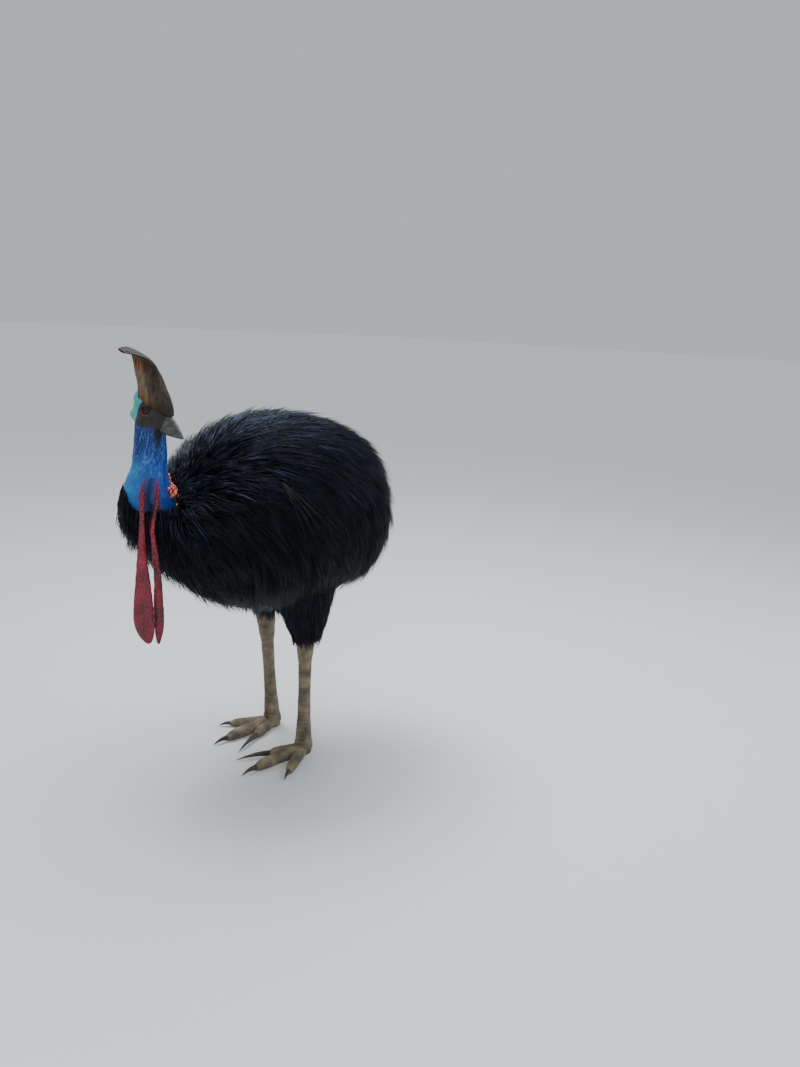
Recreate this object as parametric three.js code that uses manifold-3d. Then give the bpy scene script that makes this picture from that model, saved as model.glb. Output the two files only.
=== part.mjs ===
// A southern cassowary at life size, standing still: a black, hair-like coat over a domed body, a bare blue
// neck with two long red wattles, a tall horny casque whose crest has flopped over to one side, and
// three-toed feet. It faces -Y with its left side at +X, and has turned its head to its left. Sizes are in
// millimetres, and +Z is up.
import * as THREE from "three";
import { mergeVertices } from "three/addons/utils/BufferGeometryUtils.js";
import Module from "manifold-3d";

const GAP = 0.3; // air left between neighbouring pieces

// The coat out to the tips of its feathers, from breast to rump: at each station its place along the bird,
// the height of its top and bottom there, and its half width.
const COAT = {
  y: [-483, -450, -343, -214, -69, 83, 213, 308, 354],
  top: [745, 838, 906, 1006, 1041, 1026, 970, 884, 748],
  bottom: [745, 668, 571, 504, 489, 512, 538, 612, 748],
  halfWidth: [0, 138, 202, 249, 278, 266, 218, 126, 0],
  squareness: 2.25, // 2 would make its cross-sections ellipses
  centre: [0, -70, 765],
  collar: { at: [45, -425, 850], depth: 0.11, spread: 0.3 }, // short feathers round the foot of the neck
  core: 0.84, // the solid under the locks, as a share of the way out to their tips
};
const COAT_SPREAD = [280, 415, 275]; // lengthens the even spread of roots as the body is lengthened
const RUMP_Y = 215; // the rump is parted from the torso by a plane at this y

// The hair-like feathers, drawn together into flat, tapered locks.
const LOCK = {
  // How many roots are spread over the whole coat, at the density of each part, and over each thigh.
  torso: 205,
  rump: 290,
  thigh: 20,
  length: 225,
  width: 88,
  thickness: 10,
  root: 0.78, // where a lock begins inside the core, as a share of the way out to the tips
  lie: [0, 0.65, -1],
  rings: 5,
  widthAlong: [0.7, 1, 1, 0.72, 0.03],
  // How a lock is changed, in turn, until it clears the nodes beside it.
  fits: [
    { length: 1, width: 1, rise: 0.85 },
    { length: 1.1, width: 0.8, rise: 0.6 },
    { length: 1, width: 0.8, rise: 0.35 },
    { length: 0.85, width: 0.7, rise: 1 },
    { length: 0.75, width: 0.55, rise: 0.7 },
    { length: 0.55, width: 0.5, rise: 0.6 },
    { length: 0.4, width: 0.4, rise: 0.8 },
  ],
};
const WING = {
  at: [1, -0.5, 0.5],
  wrist: 52,
  quills: 4,
  fan: 12,
  quillLength: 235,
  quillRadius: 3.2,
  lift: 3,
};

// The neck, from inside the breast up into the skull, with the direction that its throat faces at each
// station.
const NECK = {
  path: [[0, -316, 715], [0, -378, 778], [1, -431, 838], [13, -436, 905], [18, -434, 965], [17, -431, 1030]],
  halfWidth: [44, 54, 60, 43, 39, 35],
  halfDepth: [44, 54, 59, 43, 39, 38],
  throat: [-80, -62, -38, -22, -4, 10],
};
const NECK_PART_Z = 905; // the neck is parted here into a lower and an upper length
const NECK_FOLD = 1.4; // how far the lengthwise wrinkles of its skin stand out

// Caruncles: beads of skin in rows beside and behind the foot of the neck. Turns are in degrees from the
// throat.
const CARUNCLES = [
  { rows: 5, heights: [802, 860], columns: 3, turns: [74, 100], radius: 6 },
  { rows: 1, heights: [876, 884], columns: 6, turns: [120, 236], radius: 7 },
];

// The head, in its own axes: forward along the bill, left, and up from the middle of the two eyes.
const HEAD = { x: 32, y: -428, z: 1050, heading: 12, stoop: 19, halfWidth: 30 };
const BILL = {
  base: 38,
  length: 78,
  mouth: -20,
  middle: [-14, -14, -15, -18, -22], // the height of its axis, from inside the face to its tip
  halfHeight: [28, 27.5, 24.5, 19, 12],
  halfWidth: [17, 15.5, 13, 10.5, 8],
  nostril: [86, -17],
};
const EYE = { radius: 12, aside: 18.5, opening: [10.5, 8] };
const CASQUE = {
  path: [
    [2, 0, 12], [-8, 0, 36], [-31, 0, 62], [-52, -1, 87], [-66, -8, 106], [-75, -24, 116], [-79, -44, 119],
    [-81, -61, 118],
  ],
  length: [124, 122, 116, 101, 85, 68, 48, 26],
  thickness: [48, 43, 37, 30, 21, 11, 8, 6],
  lean: [0, 0, 0, 6, 32, 66, 88, 100],
};

// Wattles: two flat lobes that begin as ridges on the throat and hang clear of the breast.
const WATTLES = {
  right: {
    path: [
      [48, -471, 872], [51, -477, 825], [72, -490, 766], [79, -496, 704], [80, -496, 640], [79, -496, 575],
      [77, -494, 528], [81, -484, 470],
    ],
    halfWidth: [4.5, 5.5, 6.5, 11, 17.5, 23.5, 24.5, 17],
    halfThickness: [5, 6, 7, 8, 9, 11, 12, 9],
  },
  left: {
    path: [
      [61, -437, 872], [65, -446, 824], [80, -466, 764], [84, -463, 704], [86, -459, 637], [86, -459, 572],
      [86, -458, 526], [85, -461, 464],
    ],
    halfWidth: [4, 4.5, 5.5, 8, 9.5, 12, 12, 8.5],
    halfThickness: [5, 6, 7, 7, 8, 9, 10, 8],
  },
  facing: -28,
  roundEnd: 0.1, // as a share of the length
};

// Legs, measured from the ground under the ankle.
const LEG = {
  x: 100,
  ankle: 375,
  lean: { left: 0, right: 4.5 }, // in degrees: the right shank's foot is set further back than its ankle
  hem: { left: 372, right: 402 }, // where the coat of the thigh ends above the bare shank
};
const SHANK = {
  height: [0, 22, 60, 130, 210, 290, 345, 375, 405, 440],
  halfWidth: [21, 25, 20, 17.5, 17, 18, 23, 27, 25, 26],
  halfDepth: [24, 30, 25, 20, 18.5, 20, 26, 30, 28, 30],
};
const THIGH = {
  top: 650,
  coreFrom: 0.06, // its locks hang past its core by this share of its height
  halfWidth: [38, 50, 62, 74, 84, 91, 92],
  halfDepth: [44, 62, 78, 93, 108, 117, 118],
  setBack: [4, 1, -3, -8, -14, -20, -24],
};
const TOES = {
  inner: { turn: 24, length: 80, radius: [17, 16, 15, 13], claw: 98, clawRadius: 9.5 },
  middle: { turn: 0, length: 152, radius: [19, 18, 17, 14], claw: 44, clawRadius: 9 },
  outer: { turn: -34, length: 112, radius: [17, 16, 14, 12], claw: 34, clawRadius: 8 },
};
const TOE_ROOT = 26; // how far from the shank's axis a toe begins
const SCUTE_RISE = 1.6;

const { DEG2RAD, clamp, lerp, smoothstep } = THREE.MathUtils;
const wasm = await Module();
wasm.setup();

// A value read at t, from 0 to 1, on a smooth curve through evenly spaced stations.
function along(stations, t) {
  const x = clamp(t, 0, 1) * (stations.length - 1);
  const i = Math.min(Math.floor(x), stations.length - 2);
  const at = (k) => stations[clamp(k, 0, stations.length - 1)];
  const f = x - i;
  const [a, b, c, d] = [at(i - 1), at(i), at(i + 1), at(i + 2)];
  return b + 0.5 * f * (c - a + f * (2 * a - 5 * b + 4 * c - d + f * (3 * (b - c) + d - a)));
}

const curveThrough = (points) => new THREE.CatmullRomCurve3(points.map((p) => new THREE.Vector3(...p)));

// The compass direction, in degrees from +X towards +Y, as a level vector.
const level = (degrees) => new THREE.Vector3(Math.cos(degrees * DEG2RAD), Math.sin(degrees * DEG2RAD), 0);

function solidOf(geometry) {
  geometry.deleteAttribute("normal");
  geometry.deleteAttribute("uv");
  const merged = mergeVertices(geometry, 2e-3);
  const triVerts = new Uint32Array(merged.index.array);
  const mesh = { numProp: 3, vertProperties: new Float32Array(merged.attributes.position.array), triVerts };
  const solid = new wasm.Manifold(new wasm.Mesh(mesh));
  if (solid.volume() > 0) return solid;
  for (let i = 0; i < triVerts.length; i += 3) {
    [triVerts[i + 1], triVerts[i + 2]] = [triVerts[i + 2], triVerts[i + 1]];
  }
  return new wasm.Manifold(new wasm.Mesh(mesh));
}

// A closed form with the grid of a sphere: place(t, angle) gives each vertex, with t from 0 to 1 between the
// poles.
function form(sides, rings, place) {
  const geometry = new THREE.SphereGeometry(1, sides, rings);
  const { position, uv } = geometry.attributes;
  for (let i = 0; i < position.count; i++) {
    const share = Math.round((1 - uv.getY(i)) * rings) / rings;
    position.setXYZ(i, ...place(share, uv.getX(i) * 2 * Math.PI).toArray());
  }
  return solidOf(geometry);
}

// A closed limb: section(t, angle) gives two radii, and axes(t) the centre and the two directions that they
// lie on.
function limb(sides, rings, axes, section) {
  return form(sides, rings + 1, (share, angle) => {
    const ring = Math.round(share * (rings + 1));
    const t = clamp((ring - 1) / (rings - 1), 0, 1);
    const { centre, first, second } = axes(t);
    if (ring === 0 || ring === rings + 1) return centre.clone();
    const [a, b] = section(t, angle);
    return centre.clone()
      .addScaledVector(first, a * Math.cos(angle))
      .addScaledVector(second, b * Math.sin(angle));
  });
}

// Axes for a limb that follows a curve, with its first direction turned as near as it can be to facing(t).
const axesOn = (curve, facing) => (t) => {
  const tangent = curve.getTangent(t);
  const first = facing(t).clone().addScaledVector(tangent, -facing(t).dot(tangent)).normalize();
  return { centre: curve.getPoint(t), first, second: tangent.clone().cross(first).normalize() };
};

const largest = (solid) => solid.decompose().reduce((a, b) => (b.volume() > a.volume() ? b : a));
const above = (solid, z) => solid.trimByPlane([0, 0, 1], z);
const below = (solid, z) => solid.trimByPlane([0, 0, -1], -z);

const cassowary = new THREE.Group();
const skinBlue = new THREE.MeshStandardMaterial({ color: 0x1d5ea8, roughness: 0.55 });
const skinNeck = new THREE.MeshStandardMaterial({ color: 0x2a74b8, roughness: 0.6 });
const wattleRed = new THREE.MeshStandardMaterial({ color: 0x9c2740, roughness: 0.6 });
const horn = new THREE.MeshStandardMaterial({ color: 0x6e5a49, roughness: 0.5 });
const billHorn = new THREE.MeshStandardMaterial({ color: 0x4b4c50, roughness: 0.45 });
const eyeGloss = new THREE.MeshStandardMaterial({ color: 0x5a2a12, roughness: 0.1 });
const quillHorn = new THREE.MeshStandardMaterial({ color: 0x0a0a0c, roughness: 0.3 });
const plumage = new THREE.MeshStandardMaterial({ color: 0x0c0d12, roughness: 0.7 });
const scaly = new THREE.MeshStandardMaterial({ color: 0x8a7c66, roughness: 0.7 });
const clawHorn = new THREE.MeshStandardMaterial({ color: 0x2c2723, roughness: 0.4 });

// The triangles of a solid's largest closed surface, which leaves out sealed hollows and loose scraps.
function surfaceOf(solid) {
  const { numProp, vertProperties, triVerts } = largest(solid).getMesh();
  const geometry = new THREE.BufferGeometry();
  geometry.setAttribute("position", new THREE.BufferAttribute(vertProperties, numProp));
  geometry.setIndex(new THREE.BufferAttribute(triVerts, 1));
  return geometry;
}

function addNode(name, solid, material) {
  const geometry = surfaceOf(solidOf(surfaceOf(solid))); // again, as merged vertices can seal a hollow
  geometry.computeVertexNormals();
  const mesh = new THREE.Mesh(geometry, material);
  mesh.name = name;
  cassowary.add(mesh);
}

const coatCentre = new THREE.Vector3(...COAT.centre);
const collarWay = new THREE.Vector3(...COAT.collar.at).sub(coatCentre);

// The station, from 0 to 1, at which the coat has reached a given y.
function coatStation(y) {
  let [low, high] = [0, 1];
  for (let i = 0; i < 14; i++) {
    const middle = (low + high) / 2;
    if (along(COAT.y, middle) < y) low = middle;
    else high = middle;
  }
  return low;
}

function insideCoat(point) {
  if (point.y <= COAT.y[0] || point.y >= COAT.y.at(-1)) return false;
  const t = coatStation(point.y);
  const [top, bottom] = [along(COAT.top, t), along(COAT.bottom, t)];
  const aside = Math.abs(point.x) / along(COAT.halfWidth, t);
  const up = Math.abs(2 * point.z - top - bottom) / (top - bottom);
  return aside ** COAT.squareness + up ** COAT.squareness < 1;
}

// How far out the tips of the feathers are, in a unit direction from the coat's centre.
function coatReach(direction) {
  let [near, far] = [0, 600];
  for (let i = 0; i < 15; i++) {
    const middle = (near + far) / 2;
    if (insideCoat(coatCentre.clone().addScaledVector(direction, middle))) near = middle;
    else far = middle;
  }
  const { depth, spread } = COAT.collar;
  return near * (1 - depth * Math.exp(-((direction.angleTo(collarWay) / spread) ** 2)));
}

const coatPoint = (direction, share, grow = 0) => (
  coatCentre.clone().addScaledVector(direction, coatReach(direction) * share + grow)
);

function coatNormal(direction) {
  const aside = direction.clone().cross(new THREE.Vector3(0.31, 0.59, 0.75)).normalize();
  const onward = direction.clone().cross(aside);
  const near = (way, step) => coatPoint(direction.clone().addScaledVector(way, step).normalize(), 1);
  const slope = (way) => near(way, 0.06).sub(near(way, -0.06));
  return slope(aside).cross(slope(onward)).normalize();
}

const core = (grow = 0) => form(20, 14, (t, angle) => {
  const polar = Math.PI * t;
  const ringRadius = Math.sin(polar);
  const [aside, up] = [ringRadius * Math.cos(angle), ringRadius * Math.sin(angle)];
  return coatPoint(new THREE.Vector3(aside, -Math.cos(polar), up), COAT.core, grow);
});
const coreGrown = core(GAP * 1.5);

let seed = 20311;
function random(from = 0, to = 1) {
  seed = (seed * 48271) % 2147483647;
  return lerp(from, to, seed / 2147483647);
}

// Points over the coat from a root, following the lie of the feathers turned by some degrees, and the way out
// at each.
function coatPath(root, length, steps, turn, shareAt) {
  let direction = root.clone().normalize();
  const points = [];
  const outward = [];
  for (let i = 0; i <= steps; i++) {
    const point = coatPoint(direction, shareAt(i / steps));
    const normal = coatNormal(direction);
    const onward = new THREE.Vector3(...LOCK.lie).projectOnPlane(normal).normalize();
    onward.applyAxisAngle(normal, turn * DEG2RAD);
    points.push(point);
    outward.push(normal);
    direction = point.clone().addScaledVector(onward, length / steps).sub(coatCentre).normalize();
  }
  return { points, outward };
}

// A strip with a low ridge along its outer face, that follows points and lies square to the way out.
function lockOn({ points, outward }, width, grow = 0) {
  const curve = new THREE.CatmullRomCurve3(points);
  const facing = (t) => outward[Math.round(t * (outward.length - 1))];
  return limb(3, LOCK.rings, axesOn(curve, facing), (t) => {
    const share = along(LOCK.widthAlong, t);
    return [(LOCK.thickness / 1.5) * Math.sqrt(share) + grow, (width / Math.sqrt(3)) * share + grow];
  });
}

// Locks from every root, each bent, narrowed or shortened until it clears what stands beside it, or left out.
function addLocks(node, roots, pathFrom, obstacles) {
  let fused = node;
  let spread = node;
  let own = null;
  for (const root of roots) {
    const vary = {
      length: random(0.85, 1.12),
      width: random(0.85, 1.12),
      tip: random(0.965, 1),
      turn: random(-9, 9),
    };
    for (const fit of LOCK.fits) {
      const path = pathFrom(root, vary, fit);
      const width = LOCK.width * vary.width * fit.width;
      const grown = lockOn(path, width, GAP * 2);
      if ([...obstacles, own].some((solid) => solid && !grown.intersect(solid).isEmpty())) continue;
      const lock = lockOn(path, width);
      fused = fused.add(lock);
      own = own ? own.add(lock) : lock;
      spread = spread.add(grown);
      break;
    }
  }
  return { solid: fused, grown: spread };
}

// Neck and head are modelled as one length of flesh, then parted by thin level cuts.
const neckCurve = curveThrough(NECK.path);
const neckAxes = axesOn(neckCurve, (t) => level(along(NECK.throat, t)));
const neckForm = (grow = 0) => limb(18, 11, neckAxes, (t, angle) => {
  const fold = NECK_FOLD * Math.cos(9 * angle) * smoothstep(t, 0.3, 0.5) * (1 - smoothstep(t, 0.8, 0.9));
  return [along(NECK.halfDepth, t) + fold + grow, along(NECK.halfWidth, t) + fold + grow];
});

// A point beside the neck, at a share of its length and a turn from the throat.
function besideNeck(t, turn, off) {
  const { centre, first, second } = neckAxes(t);
  const [ahead, aside] = [Math.cos(turn * DEG2RAD), Math.sin(turn * DEG2RAD)];
  return centre.addScaledVector(first, (along(NECK.halfDepth, t) + off) * ahead)
    .addScaledVector(second, (along(NECK.halfWidth, t) + off) * aside);
}

const forward = level(HEAD.heading);
const stoop = HEAD.stoop * DEG2RAD;
const headAhead = forward.clone().multiplyScalar(Math.cos(stoop)).setZ(-Math.sin(stoop));
const headUp = forward.clone().multiplyScalar(Math.sin(stoop)).setZ(Math.cos(stoop));
const headLeft = headUp.clone().cross(headAhead);
const headCentre = new THREE.Vector3(HEAD.x, HEAD.y, HEAD.z);
const headPoint = (ahead, left, up) => headCentre.clone()
  .addScaledVector(headAhead, ahead)
  .addScaledVector(headLeft, left)
  .addScaledVector(headUp, up);

// An ellipsoid set in the head's axes.
const headBall = (centre, radii, sides = 12, rings = 8) => form(sides, rings, (t, angle) => {
  const ringRadius = Math.sin(Math.PI * t);
  return headPoint(
    centre[0] + radii[0] * ringRadius * Math.cos(angle),
    centre[1] + radii[1] * ringRadius * Math.sin(angle),
    centre[2] + radii[2] * Math.cos(Math.PI * t),
  );
});

// The skull's flesh from the nape to the bill, wider at the cheeks.
const SKULL = {
  ahead: [-56, -52, -38, -18, 4, 24, 40, 58],
  top: [4, 14, 22, 26, 25, 22, 17, 12],
  bottom: [-14, -30, -42, -48, -48, -46, -42, -36],
  halfWidth: [10, 21, 28, 30, 30, 24, 18, 14],
};
const skull = limb(12, 10, (t) => ({
  centre: headPoint(along(SKULL.ahead, t), 0, (along(SKULL.top, t) + along(SKULL.bottom, t)) / 2),
  first: headUp,
  second: headLeft,
}), (t) => [(along(SKULL.top, t) - along(SKULL.bottom, t)) / 2, along(SKULL.halfWidth, t)]);

const casqueForm = (grow = 0) => {
  const stations = CASQUE.path.map((p) => headPoint(...p));
  const curve = new THREE.CatmullRomCurve3(stations);
  return limb(14, 16, (t) => {
    const lean = along(CASQUE.lean, t) * DEG2RAD;
    return {
      centre: curve.getPoint(t),
      first: headAhead,
      second: headLeft.clone().multiplyScalar(Math.cos(lean)).addScaledVector(headUp, Math.sin(lean)),
    };
  }, (t) => [along(CASQUE.length, t) / 2 + grow, along(CASQUE.thickness, t) / 2 + grow]);
};

const eyeBall = (side, grow = 0) => {
  const r = EYE.radius + grow;
  return headBall([0, side * EYE.aside, 0], [r, r, r], 10, 7);
};

// Lids: a raised ring round the opening of each eye.
function lidRing(side) {
  const ring = new THREE.TorusGeometry(1, 0.24, 4, 11);
  const { position } = ring.attributes;
  for (let i = 0; i < position.count; i++) {
    const [x, y, z] = [position.getX(i), position.getY(i), position.getZ(i)];
    position.setXYZ(i, ...headPoint(x * 12.5, side * (HEAD.halfWidth - 1.2 + z * 12), y * 10).toArray());
  }
  return solidOf(ring);
}

// Two soft bulges of the nape, and the jaw's root that fills in between them and the neck.
let flesh = neckForm().add(skull)
  .add(headBall([-59, 0, 6], [13, 15, 22], 8, 6))
  .add(headBall([-56, -2, -34], [14, 18, 15], 8, 6))
  .add(headBall([-40, 0, -34], [24, 24, 20], 10, 7));
for (const side of [1, -1]) {
  flesh = flesh.add(lidRing(side));
}
for (const side of [1, -1]) {
  const [wide, high] = EYE.opening;
  flesh = flesh
    .subtract(eyeBall(side, GAP))
    .subtract(headBall([0, side * 32, 0], [wide, 9, high], 8, 5))
    .subtract(headBall([-31, side * 31, -8], [4, 7, 5], 6, 4));
}
flesh = flesh.subtract(casqueForm(GAP * 1.5));

// The bill: one tapering form, parted along the mouth, with a slit nostril on each side.
const billForm = (grow = 0) => limb(12, 10, (t) => ({
  centre: headPoint(BILL.base - 14 + (BILL.length + 14) * t, 0, along(BILL.middle, t)),
  first: headUp,
  second: headLeft,
}), (t) => {
  const taper = Math.sqrt(1 - t ** 2.4);
  return [along(BILL.halfHeight, t) * taper + grow, along(BILL.halfWidth, t) * taper + grow];
});
const mouthNormal = headUp.clone().addScaledVector(headAhead, 0.09).normalize();
const mouthOffset = mouthNormal.dot(headPoint(BILL.base, 0, BILL.mouth));
const billFlesh = billForm(GAP);
const [nostrilAhead, nostrilUp] = BILL.nostril;
const bill = billForm()
  .subtract(headBall([nostrilAhead, 11, nostrilUp], [8, 4, 2.2], 10, 6))
  .subtract(headBall([nostrilAhead, -11, nostrilUp], [8, 4, 2.2], 10, 6))
  .subtract(casqueForm(GAP));
addNode("bill_upper", bill.trimByPlane(mouthNormal.toArray(), mouthOffset + GAP), billHorn);
addNode("bill_lower", bill.trimByPlane(mouthNormal.clone().negate().toArray(), -mouthOffset + GAP), billHorn);
flesh = flesh.subtract(billFlesh);

addNode("casque", casqueForm().subtract(eyeBall(1, GAP)).subtract(eyeBall(-1, GAP)), horn);
addNode("eye_left", eyeBall(1), eyeGloss);
addNode("eye_right", eyeBall(-1), eyeGloss);

const HEAD_PART_Z = 990; // the head is parted from the neck here
addNode("head", above(flesh, HEAD_PART_Z + GAP / 2), skinBlue);
addNode("neck_upper", below(above(flesh, NECK_PART_Z + GAP / 2), HEAD_PART_Z - GAP / 2), skinNeck);

// The share of the neck's length at which its axis passes a height.
const neckShareAt = (z) => {
  let t = 0;
  while (neckCurve.getPoint(t).z < z) t += 0.004;
  return t;
};

let neckFoot = below(flesh, NECK_PART_Z - GAP / 2);
for (const { rows, heights, columns, turns, radius } of CARUNCLES) {
  for (let row = 0; row < rows; row++) {
    for (let column = 0; column < columns; column++) {
      const z = lerp(...heights, (row + 0.5 * (column % 2)) / (rows - 0.5));
      const turn = lerp(...turns, column / (columns - 1)) + random(-2, 2);
      const r = radius * random(0.8, 1.2);
      const at = besideNeck(neckShareAt(z), turn, r * 0.15);
      neckFoot = neckFoot.add(form(5, 3, (t, angle) => new THREE.Vector3(
        at.x + r * Math.sin(Math.PI * t) * Math.cos(angle),
        at.y + r * Math.sin(Math.PI * t) * Math.sin(angle),
        at.z + r * Math.cos(Math.PI * t),
      )));
    }
  }
}
addNode("neck_lower", neckFoot.subtract(coreGrown), skinNeck);

// Each wattle meets the throat face to face.
const neckGrown = neckForm(GAP);
const hanging = [];
for (const side of ["right", "left"]) {
  const { path, halfWidth, halfThickness } = WATTLES[side];
  const across = level(WATTLES.facing + 90);
  const axes = axesOn(curveThrough(path), () => across);
  const crowd = (t) => 1 - (1 - t) ** 1.6; // rings crowd towards the round end
  const wattle = (grow) => limb(10, 14, (t) => axes(crowd(t)), (t) => {
    const round = Math.sqrt(1 - Math.max(0, (crowd(t) - 1 + WATTLES.roundEnd) / WATTLES.roundEnd) ** 2);
    return [along(halfWidth, crowd(t)) * round + grow, along(halfThickness, crowd(t)) * round + grow];
  });
  hanging.push(wattle(2));
  addNode(`wattle_${side}`, wattle(0).subtract(neckGrown), wattleRed);
}

// Wings: tiny, each a wrist on the flank with a fan of bare quills that lie over the coat.
const wings = [];
for (const [name, side] of [["left", 1], ["right", -1]]) {
  const root = new THREE.Vector3(side * WING.at[0], WING.at[1], WING.at[2]).normalize();
  const overCoat = (lift) => () => 1 + lift / coatReach(root);
  const strip = (path, sides, rings, radii, grow) => {
    const facing = (t) => path.outward[Math.round(t * (path.outward.length - 1))];
    const axes = axesOn(new THREE.CatmullRomCurve3(path.points), facing);
    return limb(sides, rings, axes, (t) => radii(t).map((r) => r + grow));
  };
  const wing = (grow) => {
    const stalk = coatPath(root, 30, 3, 0, (t) => lerp(LOCK.root, 1.01, t));
    let solid = strip(stalk, 5, 3, () => [8, 9], grow);
    const wrist = coatPath(root, WING.wrist, 4, 0, overCoat(WING.lift));
    const wristRadii = (t) => [5 * Math.sin(0.5 + 2.1 * t), 17 * Math.sin(0.6 + 1.9 * t)];
    solid = solid.add(strip(wrist, 6, 4, wristRadii, grow));
    for (let i = 0; i < WING.quills; i++) {
      const turn = lerp(-WING.fan, WING.fan, i / (WING.quills - 1));
      const length = WING.quillLength * (1 - 0.1 * Math.abs(i - 1.5));
      const quill = coatPath(root, length, 7, side * turn, overCoat(WING.lift + i * 0.4));
      const quillRadii = (t) => Array(2).fill(WING.quillRadius * (1 - 0.72 * t));
      solid = solid.add(strip(quill, 3, 5, quillRadii, grow));
    }
    return solid;
  };
  wings.push(wing(GAP * 2));
  addNode(`wing_${name}`, wing(0).subtract(coreGrown), quillHorn);
}

// A value at a height, on a smooth curve through uneven stations.
function atHeight(heights, values, z) {
  const last = heights.length - 1;
  const k = z >= heights[last] ? last - 1 : Math.max(0, heights.findIndex((h) => h > z) - 1);
  return lerp(values[k], values[k + 1], smoothstep(z, heights[k], heights[k + 1]));
}

// Rings set in pairs, so that a limb steps like overlapping scutes: where along it a ring is, and whether it
// is proud.
function scuteRing(t, rings) {
  const ring = Math.round(t * (rings - 1));
  const pairs = rings / 2;
  const share = (Math.floor(ring / 2) + 0.82 * (ring % 2)) / (pairs - 0.18);
  return { share, proud: ring % 2 === 0 ? 1 : 0 };
}

const thighs = [];
function addLeg(name, side) {
  const x = side * LEG.x;
  const hem = LEG.hem[name];
  const lean = Math.tan(LEG.lean[name] * DEG2RAD);
  const flat = { first: new THREE.Vector3(1, 0, 0), second: new THREE.Vector3(0, 1, 0) };
  const shankTop = SHANK.height.at(-1);
  const shankRings = 26;
  const shank = (grow) => limb(10, shankRings, (t) => {
    const z = shankTop * scuteRing(t, shankRings).share;
    return { centre: new THREE.Vector3(x, (LEG.ankle - z) * lean, z), ...flat };
  }, (t, angle) => {
    const { share, proud } = scuteRing(t, shankRings);
    const rise = proud * SCUTE_RISE * Math.max(0, -Math.sin(angle));
    return [SHANK.halfWidth, SHANK.halfDepth].map((radii) => (
      atHeight(SHANK.height, radii, shankTop * share) + rise + grow
    ));
  });

  const thighCentre = (t) => new THREE.Vector3(x, along(THIGH.setBack, t), lerp(hem, THIGH.top, t));
  const thighRadii = (t) => [along(THIGH.halfWidth, t), along(THIGH.halfDepth, t)];
  const coreAxes = (t) => ({ centre: thighCentre(lerp(THIGH.coreFrom, 1, t)), ...flat });
  const thighCore = limb(12, 7, coreAxes, (t) => thighRadii(t).map((radius) => radius * COAT.core));
  const thighPath = ({ t: start, turn }, vary, fit) => {
    const points = [];
    const outward = [];
    const length = 0.5 * vary.length * fit.length;
    for (let i = 0; i <= 5; i++) {
      const t = start - length * (i / 5);
      const share = lerp(LOCK.root, 1, (i / 5) ** fit.rise);
      const [a, b] = thighRadii(Math.max(0, t));
      const way = (turn + i * 1.5) * DEG2RAD;
      outward.push(new THREE.Vector3(Math.cos(way), Math.sin(way), 0));
      points.push(new THREE.Vector3(a * Math.cos(way), b * Math.sin(way), 0).multiplyScalar(share)
        .add(thighCentre(Math.max(-0.03, t))));
    }
    return { points, outward };
  };
  const thighRoots = Array.from({ length: LOCK.thigh }, (_, i) => (
    { t: lerp(0.42, 0.82, (i * 0.618) % 1), turn: i * 129 }
  ));
  const thigh = addLocks(thighCore, thighRoots, thighPath, [below(shank(GAP), hem + 60)]);
  thighs.push(thigh.grown);
  addNode(`thigh_${name}`, thigh.solid.subtract(coreGrown).subtract(shank(GAP)), plumage);
  const footY = LEG.ankle * lean;

  let taken = shank(GAP);
  for (const [toeName, toe] of Object.entries(TOES)) {
    // The inner toe points towards the other leg.
    const heading = level(-90 - side * toe.turn);
    const across = heading.clone().cross(new THREE.Vector3(0, 0, 1));
    const start = new THREE.Vector3(x, footY, 0).addScaledVector(heading, TOE_ROOT);
    const toeAxes = (t) => ({
      centre: start.clone().addScaledVector(heading, toe.length * t).setZ(along(toe.radius, t) * 0.8),
      first: across,
      second: new THREE.Vector3(0, 0, 1),
    });
    const toeRings = 12;
    const toeForm = (grow) => limb(8, toeRings, (t) => toeAxes(scuteRing(t, toeRings).share), (t, angle) => {
      const { share, proud } = scuteRing(t, toeRings);
      const round = Math.sqrt(1 - Math.max(0, share * 6 - 5) ** 2);
      const rise = proud * SCUTE_RISE * Math.max(0, Math.sin(angle));
      const r = (along(toe.radius, share) + rise) * round + grow;
      return [r, r];
    });
    const clawLift = toe.radius[3] * 0.8;
    const clawPath = curveThrough([0, 0.35, 0.7, 1].map((s) => {
      const p = start.clone().addScaledVector(heading, toe.length - 8 + (toe.claw + 8) * s);
      return p.setZ(clawLift + 4 * Math.sin(Math.PI * s) - (clawLift - 3) * s * s).toArray();
    }));
    const claw = (grow) => limb(7, 7, axesOn(clawPath, () => across), (t) => {
      const r = toe.clawRadius * (1 - 0.93 * t ** 1.3) + grow;
      return [r * 0.8, r];
    });
    addNode(`toe_${toeName}_${name}`, above(toeForm(0), 0).subtract(claw(GAP)).subtract(taken), scaly);
    taken = taken.add(toeForm(GAP));
    addNode(`claw_${toeName}_${name}`, above(claw(0), 0), clawHorn);
  }
  addNode(`shank_${name}`, below(shank(0), lerp(hem, THIGH.top, THIGH.coreFrom) - GAP), scaly);
}
addLeg("left", 1);
addLeg("right", -1);

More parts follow.
